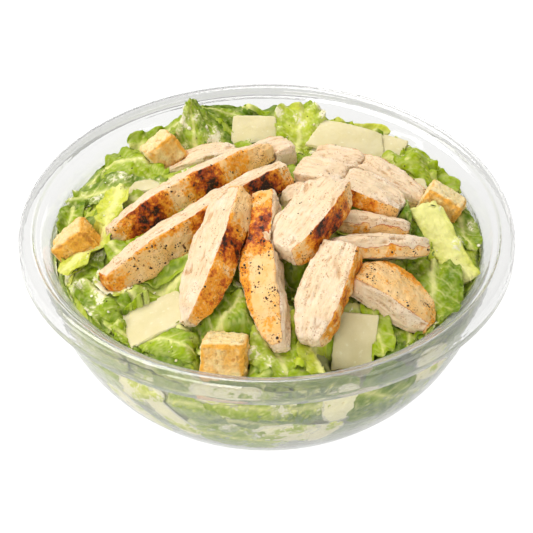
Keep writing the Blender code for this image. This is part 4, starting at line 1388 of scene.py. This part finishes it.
def build_pepper(sizes):
    """Ground pepper on the seared sides and a little on the leaves."""
    draw = np.random.default_rng(5)
    objects = bpy.data.objects
    slices = [objects[name + "_fine"] for name in SLICES]
    material = pepper_finish()
    on_meat = strewn(slices, int(sizes.pepper_grains * 0.75), draw, visible_top("sear", 50),
                     (0.12, 0.50), (0.3, 0.7), 0.0)
    made = on_meat.made("pepper_on_chicken")
    dress(made, material, ())
    on_leaves = strewn([objects["leaves_on_top"]], int(sizes.pepper_grains * 0.25), draw,
                       visible_top(None, 55), (0.10, 0.32), (0.5, 0.9), 0.2)
    made = on_leaves.made("pepper_on_leaves")
    dress(made, material, ())


def build_drops(colours):
    """Small drops of dressing on the leaves."""
    draw = np.random.default_rng(9)
    leaves = [bpy.data.objects[name] for name in LEAVES_ABOVE]
    heap = strewn(leaves, 220, draw, visible_top("coat", 52), (0.35, 1.25), (0.30, 0.5), 0.30)
    made = heap.made("dressing_drops")
    smooth_drops = made.modifiers.new("Round", "SUBSURF")
    smooth_drops.levels = smooth_drops.render_levels = 1
    dress(made, dressing_finish(colours), ())


def build_crumbs(colours):
    """Crumbs of cheese on the leaves."""
    draw = np.random.default_rng(15)
    leaves = [bpy.data.objects[name] for name in LEAVES_ABOVE]
    crumbs = strewn(leaves, 60, draw, visible_top(None, 54), (0.3, 0.9), (0.6, 1.0), 0.4)
    made = crumbs.made("cheese_crumbs")
    dress(made, bpy.data.materials["shaved_hard_cheese"], ())


# ---------------------------------------------------------------- stage

def area_light(name, place, target, size, power, colour=(1.0, 1.0, 1.0)):
    """A soft square light that faces a place."""
    lamp = bpy.data.lights.new(name, "AREA")
    lamp.shape = "RECTANGLE"
    lamp.size, lamp.size_y = size
    lamp.energy = power
    lamp.color = colour
    made = bpy.data.objects.new(name, lamp)
    made.location = place
    made.rotation_euler = (Vector(target) - Vector(place)).to_track_quat("-Z", "Y").to_euler()
    bpy.context.scene.collection.objects.link(made)


def build_stage():
    """A plain white floor, soft studio light and the camera."""
    scene = bpy.context.scene
    scene.view_settings.view_transform = "Standard"
    scene.cycles.transparent_max_bounces = 24
    half = 2.5
    floor = new_object("floor", [(-half, -half, -0.0002), (half, -half, -0.0002),
                                 (half, half, -0.0002), (-half, half, -0.0002)], [(0, 1, 2, 3)])
    white = bpy.data.materials.new("white_floor")
    white.use_nodes = True
    shader = white.node_tree.nodes["Principled BSDF"]
    shader.inputs["Base Color"].default_value = (0.20, 0.20, 0.20, 1.0)
    shader.inputs["Roughness"].default_value = 0.8
    shader.inputs["Emission Color"].default_value = (1.0, 1.0, 1.0, 1.0)
    shader.inputs["Emission Strength"].default_value = 0.93
    floor.data.materials.append(white)
    world = bpy.data.worlds.new("Soft room")
    world.use_nodes = True
    world.node_tree.nodes["Background"].inputs["Color"].default_value = (1.0, 1.0, 1.0, 1.0)
    nodes, links = world.node_tree.nodes, world.node_tree.links
    path, strength = nodes.new("ShaderNodeLightPath"), nodes.new("ShaderNodeMapRange")
    strength.inputs["To Min"].default_value = 0.34
    strength.inputs["To Max"].default_value = 0.60
    links.new(path.outputs["Is Transmission Ray"], strength.inputs["Value"])
    links.new(strength.outputs["Result"], nodes["Background"].inputs["Strength"])
    scene.world = world
    warm = (1.0, 0.982, 0.950)
    dish = (0.0, 0.0, 0.05)
    area_light("overhead", (-0.30, 0.35, 0.95), dish, (0.8, 0.5), 8.2, warm)
    area_light("window_left", (-0.95, -0.15, 0.55), dish, (0.4, 0.5), 1.9, warm)
    area_light("front_left", (-0.45, -0.95, 0.60), dish, (0.6, 0.5), 5.0, warm)
    area_light("right_fill", (0.90, -0.60, 0.60), dish, (0.7, 0.7), 2.6, warm)
    area_light("back_fill", (0.45, 1.10, 0.35), dish, (0.8, 0.5), 2.0, warm)
    lens = bpy.data.cameras.new("Camera")
    lens.lens = 116.6056
    lens.sensor_width = 36.0
    lens.shift_x = -0.000563
    camera = bpy.data.objects.new("Camera", lens)
    camera.location = (0.0, -0.50954, 0.45953)
    camera.rotation_euler = (math.radians(90.0 - 39.25), 0.0, 0.0)
    scene.collection.objects.link(camera)
    scene.camera = camera


# ---------------------------------------------------------------- operators

class Dish:
    """Heights that several operators use, found once."""

    ground = None
    ceiling = None

    @classmethod
    def measure(cls):
        """Look the heights up in the solids of the frame."""
        if cls.ground is None:
            cls.ground = Ground(["salad"])
            cls.ground.fill(54.0)
            cls.ground.soften(2)
            cls.ceiling = Ground(list(SLICES) + list(CROUTONS) + list(SHAVINGS), from_below=True)
            cls.ceiling.fill(500.0)
        return cls.ground, cls.ceiling


class SALAD_OT_bowl(bpy.types.Operator):
    """Turn the clear bowl from its section"""

    bl_idname = "salad.bowl"
    bl_label = "Clear bowl"

    def execute(self, context):
        build_bowl(context.scene.salad_sizes, context.scene.salad_colours)
        return {"FINISHED"}


class SALAD_OT_chicken(bpy.types.Operator):
    """Shape and finish the slices of grilled chicken"""

    bl_idname = "salad.chicken"
    bl_label = "Grilled chicken"

    def execute(self, context):
        build_chicken(context.scene.salad_sizes, context.scene.salad_colours)
        return {"FINISHED"}


class SALAD_OT_croutons(bpy.types.Operator):
    """Shape and finish the croutons"""

    bl_idname = "salad.croutons"
    bl_label = "Croutons"

    def execute(self, context):
        build_croutons(context.scene.salad_sizes, context.scene.salad_colours)
        return {"FINISHED"}


class SALAD_OT_cheese(bpy.types.Operator):
    """Shape and finish the shavings of hard cheese"""

    bl_idname = "salad.cheese"
    bl_label = "Shaved cheese"

    def execute(self, context):
        build_cheese(context.scene.salad_sizes, context.scene.salad_colours)
        return {"FINISHED"}


class SALAD_OT_leaves(bpy.types.Operator):
    """Lay the leaves over a smaller core and against the wall"""

    bl_idname = "salad.leaves"
    bl_label = "Dressed leaves"

    def execute(self, context):
        sizes, colours = context.scene.salad_sizes, context.scene.salad_colours
        ground, ceiling = Dish.measure()
        material = leaf_finish(colours)
        build_core(core_finish(colours), ground)
        build_named_leaves(sizes, material, ground, ceiling)
        build_cover_leaves(sizes, material, ground, ceiling)
        build_wall_leaves(sizes, material)
        return {"FINISHED"}


class SALAD_OT_seasoning(bpy.types.Operator):
    """Strew pepper and crumbs and drip the dressing"""

    bl_idname = "salad.seasoning"
    bl_label = "Pepper, crumbs and dressing"

    def execute(self, context):
        build_pepper(context.scene.salad_sizes)
        build_drops(context.scene.salad_colours)
        build_crumbs(context.scene.salad_colours)
        return {"FINISHED"}


class SALAD_OT_stage(bpy.types.Operator):
    """Set the floor, the lights and the camera"""

    bl_idname = "salad.stage"
    bl_label = "Stage"

    def execute(self, context):
        build_stage()
        return {"FINISHED"}


class SALAD_PT_panel(bpy.types.Panel):
    """Makes the salad piece by piece"""

    bl_idname = "SALAD_PT_panel"
    bl_label = "Chicken caesar salad"
    bl_space_type = "VIEW_3D"
    bl_region_type = "UI"
    bl_category = "Salad"

    def draw(self, context):
        for operator in OPERATORS:
            self.layout.operator(operator.bl_idname)
        for group in (context.scene.salad_sizes, context.scene.salad_colours):
            box = self.layout.box()
            for name in group.__annotations__:
                box.prop(group, name)


OPERATORS = (SALAD_OT_bowl, SALAD_OT_chicken, SALAD_OT_croutons, SALAD_OT_cheese,
             SALAD_OT_leaves, SALAD_OT_seasoning, SALAD_OT_stage)
CLASSES = (SaladSizes, SaladColours, *OPERATORS, SALAD_PT_panel)


def register():
    """Make the operators, the sizes and the colours known to Blender."""
    for kind in CLASSES:
        bpy.utils.register_class(kind)
    bpy.types.Scene.salad_sizes = bpy.props.PointerProperty(type=SaladSizes)
    bpy.types.Scene.salad_colours = bpy.props.PointerProperty(type=SaladColours)


def unregister():
    """Take them out again."""
    del bpy.types.Scene.salad_colours
    del bpy.types.Scene.salad_sizes
    for kind in reversed(CLASSES):
        bpy.utils.unregister_class(kind)


def main():
    """Make everything in order."""
    register()
    bpy.ops.salad.bowl()
    bpy.ops.salad.chicken()
    bpy.ops.salad.croutons()
    bpy.ops.salad.cheese()
    bpy.ops.salad.leaves()
    bpy.ops.salad.seasoning()
    bpy.ops.salad.stage()


if __name__ == "__main__":
    main()
